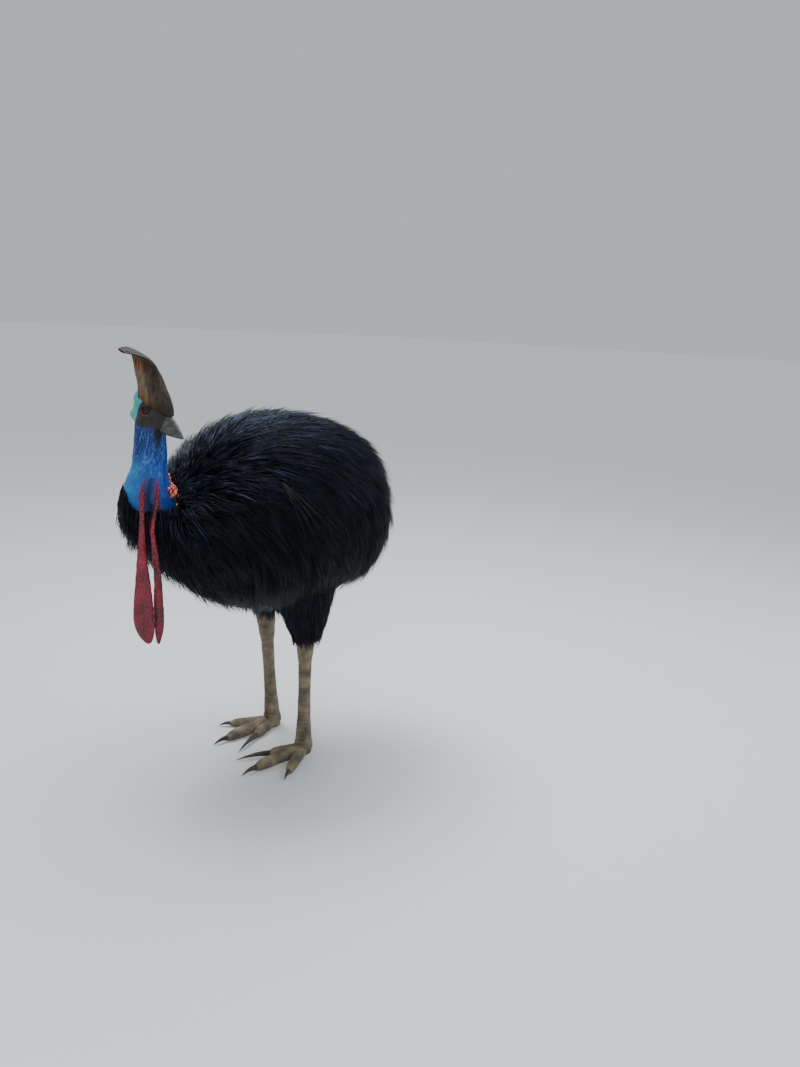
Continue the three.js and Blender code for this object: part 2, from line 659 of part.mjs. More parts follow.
// Torso and rump: the core parted by a plane, each part with the locks that are rooted in it.
const bodyPath = (root, vary, fit) => {
  const length = LOCK.length * vary.length * fit.length;
  return coatPath(root, length, 5, vary.turn, (t) => lerp(LOCK.root, vary.tip, t ** fit.rise));
};
const rootsOver = (count) => Array.from({ length: count }, (_, i) => {
  const height = 1 - (2 * i + 1) / count;
  const ring = Math.sqrt(1 - height * height);
  const turn = i * Math.PI * (3 - Math.sqrt(5));
  const way = new THREE.Vector3(ring * Math.cos(turn), ring * Math.sin(turn), height);
  return way.multiply(new THREE.Vector3(...COAT_SPREAD)).normalize();
});
const isRump = (root) => coatPoint(root, COAT.core).y > RUMP_Y;
const rump = addLocks(
  core().trimByPlane([0, 1, 0], RUMP_Y + GAP / 2),
  rootsOver(LOCK.rump).filter((root) => isRump(root)),
  bodyPath,
  [core().trimByPlane([0, -1, 0], -(RUMP_Y - GAP)), ...thighs],
);
addNode("rump", rump.solid, plumage);
const torso = addLocks(
  core().trimByPlane([0, -1, 0], -(RUMP_Y - GAP / 2)),
  rootsOver(LOCK.torso).filter((root) => !isRump(root)),
  bodyPath,
  [neckFoot, neckGrown, ...hanging, ...wings, ...thighs, rump.grown],
);
addNode("torso", torso.solid, plumage);

// The origin is on the ground at the middle of the bird's length and width.
const middle = new THREE.Box3().setFromObject(cassowary).getCenter(new THREE.Vector3());
cassowary.position.set(-middle.x, -middle.y, 0);

export default cassowary;
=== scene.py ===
import math

import bmesh
import bpy
import numpy as np
from mathutils import Matrix, Vector, noise


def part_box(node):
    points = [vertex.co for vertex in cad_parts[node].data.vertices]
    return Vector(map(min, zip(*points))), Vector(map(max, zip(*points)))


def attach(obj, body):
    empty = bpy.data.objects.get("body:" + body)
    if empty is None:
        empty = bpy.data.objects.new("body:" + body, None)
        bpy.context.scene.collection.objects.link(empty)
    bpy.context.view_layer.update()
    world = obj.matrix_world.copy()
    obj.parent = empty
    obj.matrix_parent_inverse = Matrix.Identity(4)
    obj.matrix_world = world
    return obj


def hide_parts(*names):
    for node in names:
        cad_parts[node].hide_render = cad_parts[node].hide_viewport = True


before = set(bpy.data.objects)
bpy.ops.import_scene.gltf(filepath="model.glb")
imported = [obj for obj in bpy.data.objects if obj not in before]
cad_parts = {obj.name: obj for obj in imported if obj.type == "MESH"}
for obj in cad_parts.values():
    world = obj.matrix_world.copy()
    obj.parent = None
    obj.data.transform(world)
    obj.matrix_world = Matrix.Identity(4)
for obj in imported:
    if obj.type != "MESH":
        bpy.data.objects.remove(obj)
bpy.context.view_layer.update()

# Places are in millimetres from the ground between the two ankles, with +Z up and the bird facing -Y.
# The left shank stands upright there, so its box says where that point is.
SHANK_X = 100
SHANK_TO_STANCE = 0.0007
shank_low, shank_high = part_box("shank_left")
STANCE = Vector((
    (shank_low.x + shank_high.x) / 2 - SHANK_X / 1000,
    (shank_low.y + shank_high.y) / 2 + SHANK_TO_STANCE,
    0,
))


def metres(point):
    return STANCE + Vector(point) / 1000


# The view: a hand-held camera to the front left of the bird, a little above its back and tipped down.
# Its place and its lens are worked out from the bird's own size in the picture.
CAMERA_PLACE = (1849.7, -1378.7, 1273.9)
CAMERA_HEADING, CAMERA_DIP, CAMERA_ROLL = (math.radians(a) for a in (45, 14.4, 2.92))
view_ahead = Vector((
    -math.sin(CAMERA_HEADING) * math.cos(CAMERA_DIP),
    math.cos(CAMERA_HEADING) * math.cos(CAMERA_DIP),
    -math.sin(CAMERA_DIP),
))
level_right = Vector((math.cos(CAMERA_HEADING), math.sin(CAMERA_HEADING), 0))
level_down = view_ahead.cross(level_right)
view_right = level_right * math.cos(CAMERA_ROLL) - level_down * math.sin(CAMERA_ROLL)
view_down = level_right * math.sin(CAMERA_ROLL) + level_down * math.cos(CAMERA_ROLL)
lens = bpy.data.cameras.new("camera")
lens.sensor_width = 36
lens.lens = 27.03
lens.clip_end = 300
camera = bpy.data.objects.new("camera", lens)
camera.matrix_world = Matrix.Translation(metres(CAMERA_PLACE)) @ Matrix((
    (view_right.x, -view_down.x, -view_ahead.x),
    (view_right.y, -view_down.y, -view_ahead.y),
    (view_right.z, -view_down.z, -view_ahead.z),
)).to_4x4()
bpy.context.scene.collection.objects.link(camera)
bpy.context.scene.camera = camera

# The studio: a plain pale floor that runs out of sight, a soft sun high up, a pale surround and three round
# panels: a wide one overhead, one beside the camera and one behind the bird.
FLOOR_REACH = 80.0
floor_shape = bmesh.new()
bmesh.ops.create_grid(floor_shape, x_segments=1, y_segments=1, size=FLOOR_REACH)
floor_mesh = bpy.data.meshes.new("floor")
floor_shape.to_mesh(floor_mesh)
floor_shape.free()
floor = bpy.data.objects.new("floor", floor_mesh)
bpy.context.scene.collection.objects.link(floor)
floor_paint = bpy.data.materials.new("floor_paint")
floor_paint.use_nodes = True
floor_paint.node_tree.nodes["Principled BSDF"].inputs["Base Color"].default_value = (0.575, 0.58, 0.59, 1)
floor_paint.node_tree.nodes["Principled BSDF"].inputs["Roughness"].default_value = 0.9
floor_mesh.materials.append(floor_paint)

surround = bpy.data.worlds.new("surround")
surround.use_nodes = True
surround.node_tree.nodes["Background"].inputs["Color"].default_value = (0.9, 0.92, 0.95, 1)
surround.node_tree.nodes["Background"].inputs["Strength"].default_value = 0.6
bpy.context.scene.world = surround

sun_shape = bpy.data.lights.new("soft_sun", "SUN")
sun_shape.energy = 1.6
sun_shape.angle = math.radians(25)
sun = bpy.data.objects.new("soft_sun", sun_shape)
sun.rotation_euler = Vector((0.45, 0.1, -1)).to_track_quat("-Z", "Y").to_euler()
bpy.context.scene.collection.objects.link(sun)

for panel_name, place, aim, size, watts, colour in (
    ("panel_overhead", (-500, 500, 3200), (0, -50, 700), 2.6, 110, (0.82, 0.9, 1)),
    ("panel_beside", (2600, -2400, 2300), (0, -300, 800), 1.6, 55, (1, 0.97, 0.93)),
    ("panel_behind", (1800, 2600, 2400), (0, 100, 800), 1.5, 40, (0.82, 0.9, 1)),
):
    panel = bpy.data.lights.new(panel_name, "AREA")
    panel.shape = "DISK"
    panel.size = size
    panel.energy = watts
    panel.color = colour
    lamp = bpy.data.objects.new(panel_name, panel)
    lamp.location = metres(place)
    lamp.rotation_euler = (metres(aim) - metres(place)).to_track_quat("-Z", "Y").to_euler()
    bpy.context.scene.collection.objects.link(lamp)

# The skin is one bare hide, thin and folded on the head and neck, black under the coat and horny on the legs.
# It is modelled in lengths that are fused, so that no seam shows. The head and neck come first: a wrinkled
# tube, the skull, three bulges behind it and the rims of the lids.
NECK = {
    "path": (
        (0, -316, 715), (0, -378, 778), (1, -431, 838), (13, -436, 905), (18, -434, 965), (17, -431, 1030),
    ),
    "half_width": (44, 54, 60, 43, 39, 35),
    "half_depth": (44, 54, 59, 43, 39, 38),
    "throat": (-80, -62, -38, -22, -4, 10),
    "fold": 1.4,
    "folds": 9,
}
HEAD = {"centre": (32, -428, 1050), "heading": 12, "stoop": 19, "half_width": 30}
SKULL = {
    "ahead": (-56, -52, -38, -18, 4, 24, 40, 58),
    "top": (4, 14, 22, 26, 25, 22, 17, 12),
    "bottom": (-14, -30, -42, -48, -48, -46, -42, -36),
    "half_width": (10, 21, 28, 30, 30, 24, 18, 14),
}
HEAD_BULGES = (
    ((-59, 0, 6), (13, 15, 22)),
    ((-56, -2, -34), (14, 18, 15)),
    ((-40, 0, -34), (24, 24, 20)),
)
EYE = {"radius": 12, "aside": 18.5, "opening": (10.5, 8)}
LID_RIM = {"radius": 12.5, "thickness": 2.7, "sunk": 1.2, "flatness": 0.8}
VOXEL = 0.0018
SOFT_JOINS = {"above": 0.94, "clear_of_eyes": 0.018, "passes": 24}


def along(stations, share):
    """A value read from 0 to 1 on a smooth curve through evenly spaced stations."""
    last = len(stations) - 1
    x = min(max(share, 0.0), 1.0) * last
    i = min(int(x), last - 1)
    f = x - i
    a, b, c, d = (stations[min(max(k, 0), last)] for k in (i - 1, i, i + 1, i + 2))
    return b + 0.5 * f * (c - a + f * (2 * a - 5 * b + 4 * c - d + f * (3 * (b - c) + d - a)))


def on_curve(points, share):
    """A point on a curve that passes through uneven points without swinging wide."""
    points = [Vector(p) for p in points]
    points = [2 * points[0] - points[1], *points, 2 * points[-1] - points[-2]]
    x = min(max(share, 0.0), 1.0) * (len(points) - 3)
    i = min(int(x), len(points) - 4)
    f = x - i
    a, b, c, d = points[i:i + 4]
    ab, bc, cd = (math.sqrt((q - p).length) for p, q in ((a, b), (b, c), (c, d)))
    leave = ((b - a) / ab - (c - a) / (ab + bc) + (c - b) / bc) * bc
    reach = ((c - b) / bc - (d - b) / (bc + cd) + (d - c) / cd) * bc
    return (
        (2 * f ** 3 - 3 * f ** 2 + 1) * b + (f ** 3 - 2 * f ** 2 + f) * leave
        + (3 * f ** 2 - 2 * f ** 3) * c + (f ** 3 - f ** 2) * reach
    )


def along_curve(points, facing):
    """Axes that follow a curve: its centre and two directions across it, the first turned towards facing."""
    def axes(share):
        step = 0.002
        tangent = (on_curve(points, share + step) - on_curve(points, share - step)).normalized()
        first = facing(share) - tangent * facing(share).dot(tangent)
        first.normalize()
        return on_curve(points, share), first, tangent.cross(first).normalized()
    return axes


def level(degrees):
    return Vector((math.cos(math.radians(degrees)), math.sin(math.radians(degrees)), 0))


def smooth(value, low, high):
    share = min(max((value - low) / (high - low), 0.0), 1.0)
    return share * share * (3 - 2 * share)


def closed_form(sides, rings, place):
    """A closed shape with a sphere's grid, where place(share, angle) gives each vertex in millimetres."""
    shape = bmesh.new()
    bmesh.ops.create_uvsphere(shape, u_segments=sides, v_segments=rings, radius=1)
    for vertex in shape.verts:
        share = round(math.acos(min(max(vertex.co.z, -1), 1)) / math.pi * rings) / rings
        vertex.co = metres(place(share, math.atan2(vertex.co.y, vertex.co.x)))
    bmesh.ops.recalc_face_normals(shape, faces=shape.faces)
    return shape


def limb(sides, rings, axes, section):
    """A closed shape round an axis, where section(share, angle) gives its two radii there."""
    def place(share, angle):
        ring = round(share * (rings + 1))
        t = min(max((ring - 1) / (rings - 1), 0), 1)
        centre, first, second = axes(t)
        if ring in (0, rings + 1):
            return centre
        a, b = section(t, angle)
        return centre + first * a * math.cos(angle) + second * b * math.sin(angle)
    return closed_form(sides, rings + 1, place)


def made(name, *shapes):
    """One object from one shape or several."""
    mesh = bpy.data.meshes.new(name)
    whole = bmesh.new()
    for shape in shapes:
        part = bpy.data.meshes.new("part")
        shape.to_mesh(part)
        shape.free()
        whole.from_mesh(part)
        bpy.data.meshes.remove(part)
    whole.to_mesh(mesh)
    whole.free()
    mesh.shade_smooth()
    piece = bpy.data.objects.new(name, mesh)
    bpy.context.scene.collection.objects.link(piece)
    return piece


def settle(piece):
    """Turns a piece's modifiers into its mesh."""
    view = bpy.context.evaluated_depsgraph_get()
    mesh = bpy.data.meshes.new_from_object(piece.evaluated_get(view))
    piece.modifiers.clear()
    old = piece.data
    piece.data = mesh
    bpy.data.meshes.remove(old)
    mesh.name = piece.name
    mesh.shade_smooth()
    return piece


throat_axes = along_curve(NECK["path"], lambda t: level(along(NECK["throat"], t)))


def neck_section(t, angle):
    fold = NECK["fold"] * math.cos(NECK["folds"] * angle) * smooth(t, 0.3, 0.5) * (1 - smooth(t, 0.8, 0.9))
    return along(NECK["half_depth"], t) + fold, along(NECK["half_width"], t) + fold


head_centre = Vector(HEAD["centre"])
forward = level(HEAD["heading"])
stoop = math.radians(HEAD["stoop"])
head_ahead = forward * math.cos(stoop) - Vector((0, 0, math.sin(stoop)))
head_up = forward * math.sin(stoop) + Vector((0, 0, math.cos(stoop)))
head_left = head_up.cross(head_ahead)


def in_head(ahead, left, up):
    return head_centre + head_ahead * ahead + head_left * left + head_up * up


def head_bulge(centre, radii):
    return closed_form(24, 16, lambda t, angle: in_head(
        centre[0] + radii[0] * math.sin(math.pi * t) * math.cos(angle),
        centre[1] + radii[1] * math.sin(math.pi * t) * math.sin(angle),
        centre[2] + radii[2] * math.cos(math.pi * t),
    ))


def skull_axes(t):
    middle = (along(SKULL["top"], t) + along(SKULL["bottom"], t)) / 2
    return in_head(along(SKULL["ahead"], t), 0, middle), head_up, head_left


def lid_rim(side):
    """The thick rim of the lids round one eye."""
    shape = bmesh.new()
    ring = bmesh.ops.create_circle(shape, segments=10, radius=LID_RIM["thickness"])["verts"]
    bmesh.ops.translate(shape, verts=ring, vec=(LID_RIM["radius"], 0, 0))
    bmesh.ops.spin(
        shape, geom=ring + list(shape.edges), cent=(0, 0, 0), axis=(0, 1, 0), angle=2 * math.pi, steps=40,
        use_merge=True,
    )
    for vertex in shape.verts:
        ahead, out, up = vertex.co
        aside = side * (HEAD["half_width"] - LID_RIM["sunk"] + out)
        vertex.co = metres(in_head(ahead, aside, up * LID_RIM["flatness"]))
    bmesh.ops.recalc_face_normals(shape, faces=shape.faces)
    return shape


head_and_neck = made(
    "head_and_neck",
    limb(72, 90, throat_axes, neck_section),
    limb(48, 40, skull_axes, lambda t, angle: (
        (along(SKULL["top"], t) - along(SKULL["bottom"], t)) / 2, along(SKULL["half_width"], t),
    )),
    *(head_bulge(centre, radii) for centre, radii in HEAD_BULGES),
    lid_rim(1),
    lid_rim(-1),
)
fuse = head_and_neck.modifiers.new("fuse", "REMESH")
fuse.mode = "VOXEL"
fuse.voxel_size = VOXEL
settle(head_and_neck)
eye_spots = [metres(in_head(0, side * HEAD["half_width"], 0)) for side in (1, -1)]
hide = bmesh.new()
hide.from_mesh(head_and_neck.data)
soft_joins = [
    vertex for vertex in hide.verts
    if vertex.co.z > SOFT_JOINS["above"]
    and min((vertex.co - spot).length for spot in eye_spots) > SOFT_JOINS["clear_of_eyes"]
]
for _ in range(SOFT_JOINS["passes"]):
    bmesh.ops.smooth_vert(
        hide, verts=soft_joins, factor=0.5, use_axis_x=True, use_axis_y=True, use_axis_z=True,
    )
hide.to_mesh(head_and_neck.data)
hide.free()

# Trunk and thighs: plain black skin that the coat is rooted in. The trunk is the coat's own form drawn in
# towards its middle, so that the feathers stand out from it by a like share all round.
COAT_ALONG = {
    "y": (-483, -450, -343, -214, -69, 83, 213, 308, 354),
    "top": (745, 838, 906, 1006, 1041, 1026, 970, 884, 748),
    "bottom": (745, 668, 571, 504, 489, 512, 538, 612, 748),
    "half_width": (0, 138, 202, 249, 278, 266, 218, 126, 0),
}
COAT_SQUARENESS = 2.25
COAT_CENTRE = np.array((0.0, -70.0, 765.0))
COLLAR = {"at": (45, -425, 850), "depth": 0.11, "spread": 0.3}
SKIN_SHARE = 0.68  # of the way out to the tips of the feathers
HEM = {"left": 372, "right": 402}
THIGH = {
    "top": 650,
    "half_width": (38, 50, 62, 74, 84, 91, 92),
    "half_depth": (44, 62, 78, 93, 108, 117, 118),
    "set_back": (4, 1, -3, -8, -14, -20, -24),
}
coat_stations = np.linspace(0, 1, 500)
coat_y, coat_top, coat_bottom, coat_half_width = (
    np.array([along(COAT_ALONG[name], share) for share in coat_stations])
    for name in ("y", "top", "bottom", "half_width")
)
collar_way = np.array(COLLAR["at"], float) - COAT_CENTRE
collar_way /= np.linalg.norm(collar_way)


def coat_reach(ways):
    """How far out the tips of the feathers are, in unit directions from the coat's centre."""
    near = np.zeros(len(ways))
    far = np.full(len(ways), 600.0)
    for _ in range(16):
        middle = (near + far) / 2
        x, y, z = (COAT_CENTRE + ways * middle[:, None]).T
        top = np.interp(y, coat_y, coat_top)
        bottom = np.interp(y, coat_y, coat_bottom)
        aside = np.abs(x) / np.maximum(np.interp(y, coat_y, coat_half_width), 0.001)
        up = np.abs(2 * z - top - bottom) / np.maximum(top - bottom, 0.001)
        within = (aside ** COAT_SQUARENESS + up ** COAT_SQUARENESS < 1) & (y > coat_y[0]) & (y < coat_y[-1])
        near = np.where(within, middle, near)
        far = np.where(within, far, middle)
    off_collar = np.arccos(np.clip(ways @ collar_way, -1, 1)) / COLLAR["spread"]
    return near * (1 - COLLAR["depth"] * np.exp(-off_collar ** 2))


def trunk_place(share, angle):
    round_it = math.sin(math.pi * share)
    way = np.array((round_it * math.cos(angle), -math.cos(math.pi * share), round_it * math.sin(angle)))
    return COAT_CENTRE + way * coat_reach(way[None])[0] * SKIN_SHARE


def thigh_centre(side, name, share):
    height = HEM[name] + (THIGH["top"] - HEM[name]) * share
    return Vector((side * SHANK_X, along(THIGH["set_back"], share), height))


def thigh_radii(share):
    return along(THIGH["half_width"], share), along(THIGH["half_depth"], share)


def at_height(heights, values, z):
    k = min(max(sum(h <= z for h in heights) - 1, 0), len(heights) - 2)
    share = smooth(z, heights[k], heights[k + 1])
    return values[k] * (1 - share) + values[k + 1] * share


# Legs: each a straight shank with overlapping horny scutes down its front, and three toes that are scuted on
# top and flat underneath. Rings set in fours make the scutes: how far along its scute each is, and how proud.
ANKLE = 375
LEAN = {"left": 0, "right": 4.5}
SHANK = {
    "height": (0, 22, 60, 130, 210, 290, 345, 375, 405, 440),
    "half_width": (21, 25, 20, 17.5, 17, 18, 23, 27, 25, 26),
    "half_depth": (24, 30, 25, 20, 18.5, 20, 26, 30, 28, 30),
}
TOES = {
    "inner": {"turn": 24, "length": 80, "radius": (17, 16, 15, 13), "claw": 98, "claw_radius": 9.5},
    "middle": {"turn": 0, "length": 152, "radius": (19, 18, 17, 14), "claw": 44, "claw_radius": 9},
    "outer": {"turn": -34, "length": 112, "radius": (17, 16, 14, 12), "claw": 34, "claw_radius": 8},
}
TOE_ROOT = 26
TOE_SINK = 0.8  # of its radius, so that the sole comes out flat
SCUTES = {
    "rise": 1.8, "down_shank": 34, "toe_pitch": 6.5, "rings": ((0, 0.55), (0.12, 1), (0.6, 0.55), (0.95, 0)),
}


def scute_ring(t, rings):
    """Where a ring is on a limb that steps like overlapping scutes, and how proud it stands."""
    scute, step = divmod(round(t * (rings - 1)), len(SCUTES["rings"]))
    phase, proud = SCUTES["rings"][step]
    last_scute = rings // len(SCUTES["rings"]) - 1
    return (scute + phase) / (last_scute + SCUTES["rings"][-1][0]), proud


def leg_shapes(name, side):
    """The closed shapes that make one leg."""
    lean = math.tan(math.radians(LEAN[name]))
    top = SHANK["height"][-1]
    shank_rings = len(SCUTES["rings"]) * SCUTES["down_shank"]

    def shank_axes(t):
        z = top * scute_ring(t, shank_rings)[0]
        return Vector((side * SHANK_X, (ANKLE - z) * lean, z)), Vector((1, 0, 0)), Vector((0, 1, 0))

    def shank_section(t, angle):
        share, proud = scute_ring(t, shank_rings)
        rise = SCUTES["rise"] * proud * max(0, -math.sin(angle)) ** 0.5
        wide = at_height(SHANK["height"], SHANK["half_width"], top * share)
        deep = at_height(SHANK["height"], SHANK["half_depth"], top * share)
        return wide + rise, deep + rise

    shapes = [limb(40, shank_rings, shank_axes, shank_section)]
    foot_y = ANKLE * lean
    for toe in TOES.values():
        heading = level(-90 - side * toe["turn"])
        across = heading.cross(Vector((0, 0, 1)))
        start = Vector((side * SHANK_X, foot_y, 0)) + heading * TOE_ROOT * 0.4
        toe_rings = len(SCUTES["rings"]) * round(toe["length"] / SCUTES["toe_pitch"])

        def toe_axes(t, toe=toe, heading=heading, across=across, start=start, rings=toe_rings):
            share = scute_ring(t, rings)[0]
            centre = start + heading * (toe["length"] + TOE_ROOT * 0.6) * share
            centre.z = along(toe["radius"], share) * TOE_SINK
            return centre, across, Vector((0, 0, 1))

        def toe_section(t, angle, toe=toe, rings=toe_rings):
            share, proud = scute_ring(t, rings)
            end = math.sqrt(max(0, 1 - max(0, share * 6 - 5) ** 2))
            pad = 1 + 0.07 * math.cos(share * 6 * math.pi) * max(0, -math.sin(angle))
            rise = SCUTES["rise"] * proud * max(0, math.sin(angle)) ** 0.5
            r = (along(toe["radius"], share) * pad + rise) * end
            return r, r

        shapes.append(limb(28, toe_rings, toe_axes, toe_section))
    return shapes


skin = head_and_neck
skin.name = skin.data.name = "skin"
joined = [made("trunk", closed_form(64, 44, trunk_place))]
for name, side in (("left", 1), ("right", -1)):
    joined.append(made("thigh", limb(
        40, 20,
        lambda t, side=side, name=name: (thigh_centre(side, name, t), Vector((1, 0, 0)), Vector((0, 1, 0))),
        lambda t, angle: tuple(radius * SKIN_SHARE for radius in thigh_radii(t)),
    )))
    joined.extend(made("leg", shape) for shape in leg_shapes(name, side))
for number, part in enumerate(joined):
    union = skin.modifiers.new(f"union_{number}", "BOOLEAN")
    union.operation = "UNION"
    union.solver = "MANIFOLD"
    union.object = part
settle(skin)
for part in joined:
    bpy.data.objects.remove(part)

# The hide's finer forms: wrinkles down the neck, the hollow of each ear, the opening of the lids round each
# eye, the dip before it, and the crease that carries the line of the mouth back over the cheek.
SOLE = 0.0
JAW = (-46, -36)  # up from the middle of the head, where the neck's skin gives way to the head's
NECK_FOOT_HEIGHTS = (760, 780)
WRINKLES = {"round": 5.5, "length": 55, "sharpness": 3.2, "depth": 0.9}
PEBBLES = {"size": 6, "depth": 0.5}
NAPE_FOLDS = {"size": 9, "sharpness": 3, "depth": 0.45, "behind": -12}
MOUTH_CREASE = {
    "from": 2, "full": 16, "to": 46, "up": -20, "slope": -0.09, "level_at": 38, "width": 1.5, "depth": 1.8,
}
EAR = {"at": (-31, -8), "radii": (4.5, 5.5), "depth": 5}
LORE = {"at": (24, 2), "radii": (8, 9), "depth": 1.6}


def skin_values(name):
    values = np.empty(len(skin.data.vertices) * 3)
    skin.data.vertices.foreach_get(name, values)
    return values.reshape(-1, 3)


places = (skin_values("co") - np.array(STANCE)) * 1000
normals = skin_values("normal")
head_frame = np.array((head_ahead, head_left, head_up)).T
ahead, left, up = ((places - np.array(head_centre)) @ head_frame).T
side_of_head = np.where(left > 0, 1, -1)
neck_shares = np.linspace(0, 1, 400)
neck_points = np.array([on_curve(NECK["path"], share) for share in neck_shares])
neck_turns = np.array([along(NECK["throat"], share) for share in neck_shares])


def neck_at(heights):
    """The middle of the neck at given heights, its half width there, and which way its throat is turned."""
    near = np.interp(heights, neck_points[:, 2], neck_shares)
    middle = np.stack([np.interp(near, neck_shares, neck_points[:, k]) for k in (0, 1)], -1)
    half_width = np.interp(near, np.linspace(0, 1, len(NECK["half_width"])), NECK["half_width"])
    return middle, half_width, np.interp(near, neck_shares, neck_turns)


neck_middle, _, throat_turn = neck_at(places[:, 2])
from_axis = places[:, :2] - neck_middle
turn = np.degrees(np.arctan2(from_axis[:, 1], from_axis[:, 0])) - throat_turn
turn = (turn + 180) % 360 - 180  # round the neck from the throat, in degrees, on towards the bird's left


def step_between(values, low, high):
    share = np.clip((values - low) / (high - low), 0, 1)
    return share * share * (3 - 2 * share)


def bump_at(values, middle, width):
    return np.exp(-((values - middle) / width) ** 2)


off_axis = np.hypot(*from_axis.T)
above_jaw = step_between(up, *JAW)
on_neck = step_between(places[:, 2], *NECK_FOOT_HEIGHTS) * (1 - above_jaw) * (off_axis < 75)
on_head = above_jaw * (places[:, 2] > 960) * (off_axis < 140)
wrinkle = np.zeros(len(places))
veins_and_highlights = np.zeros(len(places))
streaks = np.zeros(len(places))
for i in np.flatnonzero(on_neck + on_head > 0.01):
    x, y, z = places[i]
    round_neck = math.radians(turn[i])
    winding = Vector((
        math.sin(round_neck) * WRINKLES["round"],
        math.cos(round_neck) * WRINKLES["round"],
        z / WRINKLES["length"],
    ))
    crest = 1 - abs(noise.noise(winding)) * WRINKLES["sharpness"]
    pebble = noise.noise(Vector((x, y, z)) / PEBBLES["size"])
    nape_fold = 1 - abs(noise.noise(Vector((x, y, z * 1.6)) / NAPE_FOLDS["size"])) * NAPE_FOLDS["sharpness"]
    wrinkle[i] = crest * WRINKLES["depth"] * on_neck[i]
    wrinkle[i] += pebble * PEBBLES["depth"] * on_neck[i]
    wrinkle[i] += nape_fold * NAPE_FOLDS["depth"] * on_head[i] * (ahead[i] < NAPE_FOLDS["behind"])
    # A vein pattern: real veins on the neck, and the places of the painted highlights along the folds of the
    # nape.
    veins_and_highlights[i] = 1 - min(1, abs(noise.noise(Vector((winding.x * 1.3, winding.y * 1.3, z / 24 + 7)))) * 7)
    streaks[i] = noise.noise(Vector((winding.x * 1.1, winding.y * 1.1, z / 130 + 3)))
places += normals * wrinkle[:, None]

eye_across = np.hypot(ahead / EYE["opening"][0], up / EYE["opening"][1])
lid_open = (eye_across < 1.04) & (np.abs(left) > 20)
under_eye = EYE["aside"] + np.sqrt(np.maximum(EYE["radius"] ** 2 - ahead ** 2 - up ** 2, 0)) - 1.5
left = np.where(lid_open, side_of_head * np.minimum(np.abs(left), under_eye), left)
ear_across = np.hypot((ahead - EAR["at"][0]) / EAR["radii"][0], (up - EAR["at"][1]) / EAR["radii"][1])
left -= side_of_head * EAR["depth"] * np.exp(-ear_across ** 4) * (np.abs(left) > 15)
crease_up = MOUTH_CREASE["up"] + MOUTH_CREASE["slope"] * (ahead - MOUTH_CREASE["level_at"])
in_crease = bump_at(up, crease_up, MOUTH_CREASE["width"])
in_crease *= step_between(ahead, MOUTH_CREASE["from"], MOUTH_CREASE["full"]) * (ahead < MOUTH_CREASE["to"])
left -= side_of_head * MOUTH_CREASE["depth"] * in_crease * (np.abs(left) > 8)
in_lore = bump_at(ahead, LORE["at"][0], LORE["radii"][0]) * bump_at(up, LORE["at"][1], LORE["radii"][1])
left -= side_of_head * LORE["depth"] * in_lore * (np.abs(left) > 8)
moved = on_head > 0.5
old_left = (places - np.array(head_centre)) @ head_frame[:, 1]
places[moved] += (left - old_left)[moved, None] * head_frame[:, 1]
places[:, 2] = np.maximum(places[:, 2], SOLE)
skin.data.vertices.foreach_set("co", (places / 1000 + np.array(STANCE)).ravel())
skin.data.update()


# The hide's colours: a turquoise nape with painted highlight on its folds, grey-brown cheeks under a dark
# brow, painted shade on the throat under the bill, a neck that goes from deep blue to azure (the azure partly
# its own colour and partly painted light on its right side), orange-red behind its foot, black skin under the
# coat, and olive-brown legs. They are laid on the mesh one over another, each with its own weight at each
# point.
def paint(code):
    """A colour written as six hexadecimal digits, as light."""
    channels = (int(code[i:i + 2], 16) / 255 for i in (0, 2, 4))
    return np.array([c / 12.92 if c < 0.04045 else ((c + 0.055) / 1.055) ** 2.4 for c in channels])


TINTS = {name: paint(code) for name, code in {
    "under_coat": "0c0c0e", "azure": "2f9ade", "violet": "2c3aa0", "throat_groove": "050b36",
    "streak": "061348", "vein": "5db4e6", "wattle_ridge": "8c1826", "neck_back": "b03518", "throat": "010103",
    "cheek": "332e27", "gape": "2b2b29", "brow": "0b0e1a", "turquoise": "3fb4b8", "painted_fold_highlight": "8fdcd8",
    "lid": "1c1a17", "under_eye": "8a4119", "leg": "7d6f5a", "pale_scale": "93866a", "dark_scale": "5c5346",
    "olive": "8f8250",
}.items()}
NECK_BLUES = {
    780: "0c4a96", 835: "1064b8", 870: "0f5fbd", 905: "0b4aae", 950: "083a9c", 985: "062c86", 1020: "05246f",
}
markings = np.tile(TINTS["under_coat"], (len(places), 1))


def lay(colour, weight):
    markings[:] += (colour - markings) * np.clip(weight, 0, 1)[:, None]


high = places[:, 2]
neck_blues = np.array([paint(code) for code in NECK_BLUES.values()])
neck_blue = np.array([np.interp(high, list(NECK_BLUES), neck_blues[:, k]) for k in range(3)]).T
lay(neck_blue, on_neck + on_head)
low_neck = 1 - step_between(high, 900, 950)
# The azure on the right of the neck's foot is partly the neck's own colour and partly painted light on that
# side.
lay(TINTS["azure"], on_neck * 0.85 * bump_at(turn, -78, 40) * step_between(high, 790, 830) * low_neck)
lay(TINTS["violet"], on_neck * 0.7 * bump_at(turn, 52, 20) * low_neck)
lay(TINTS["throat_groove"], on_neck * 0.92 * bump_at(turn, 7, 13) * (1 - step_between(high, 872, 915)))
lay(TINTS["streak"], on_neck * 0.7 * step_between(streaks, -0.05, 0.45) * step_between(high, 890, 960))
lay(TINTS["vein"], on_neck * 0.5 * veins_and_highlights * step_between(high, 860, 900))
for stripe in (-11, 26):
    ridge = bump_at(turn, stripe, 4.5) * (1 - step_between(high, 868, 892))
    lay(TINTS["wattle_ridge"], on_neck * 0.9 * ridge)
back_of_neck = step_between(np.abs(turn), 105, 130) * (1 - step_between(high, 868, 900))
lay(TINTS["neck_back"], on_neck * back_of_neck)
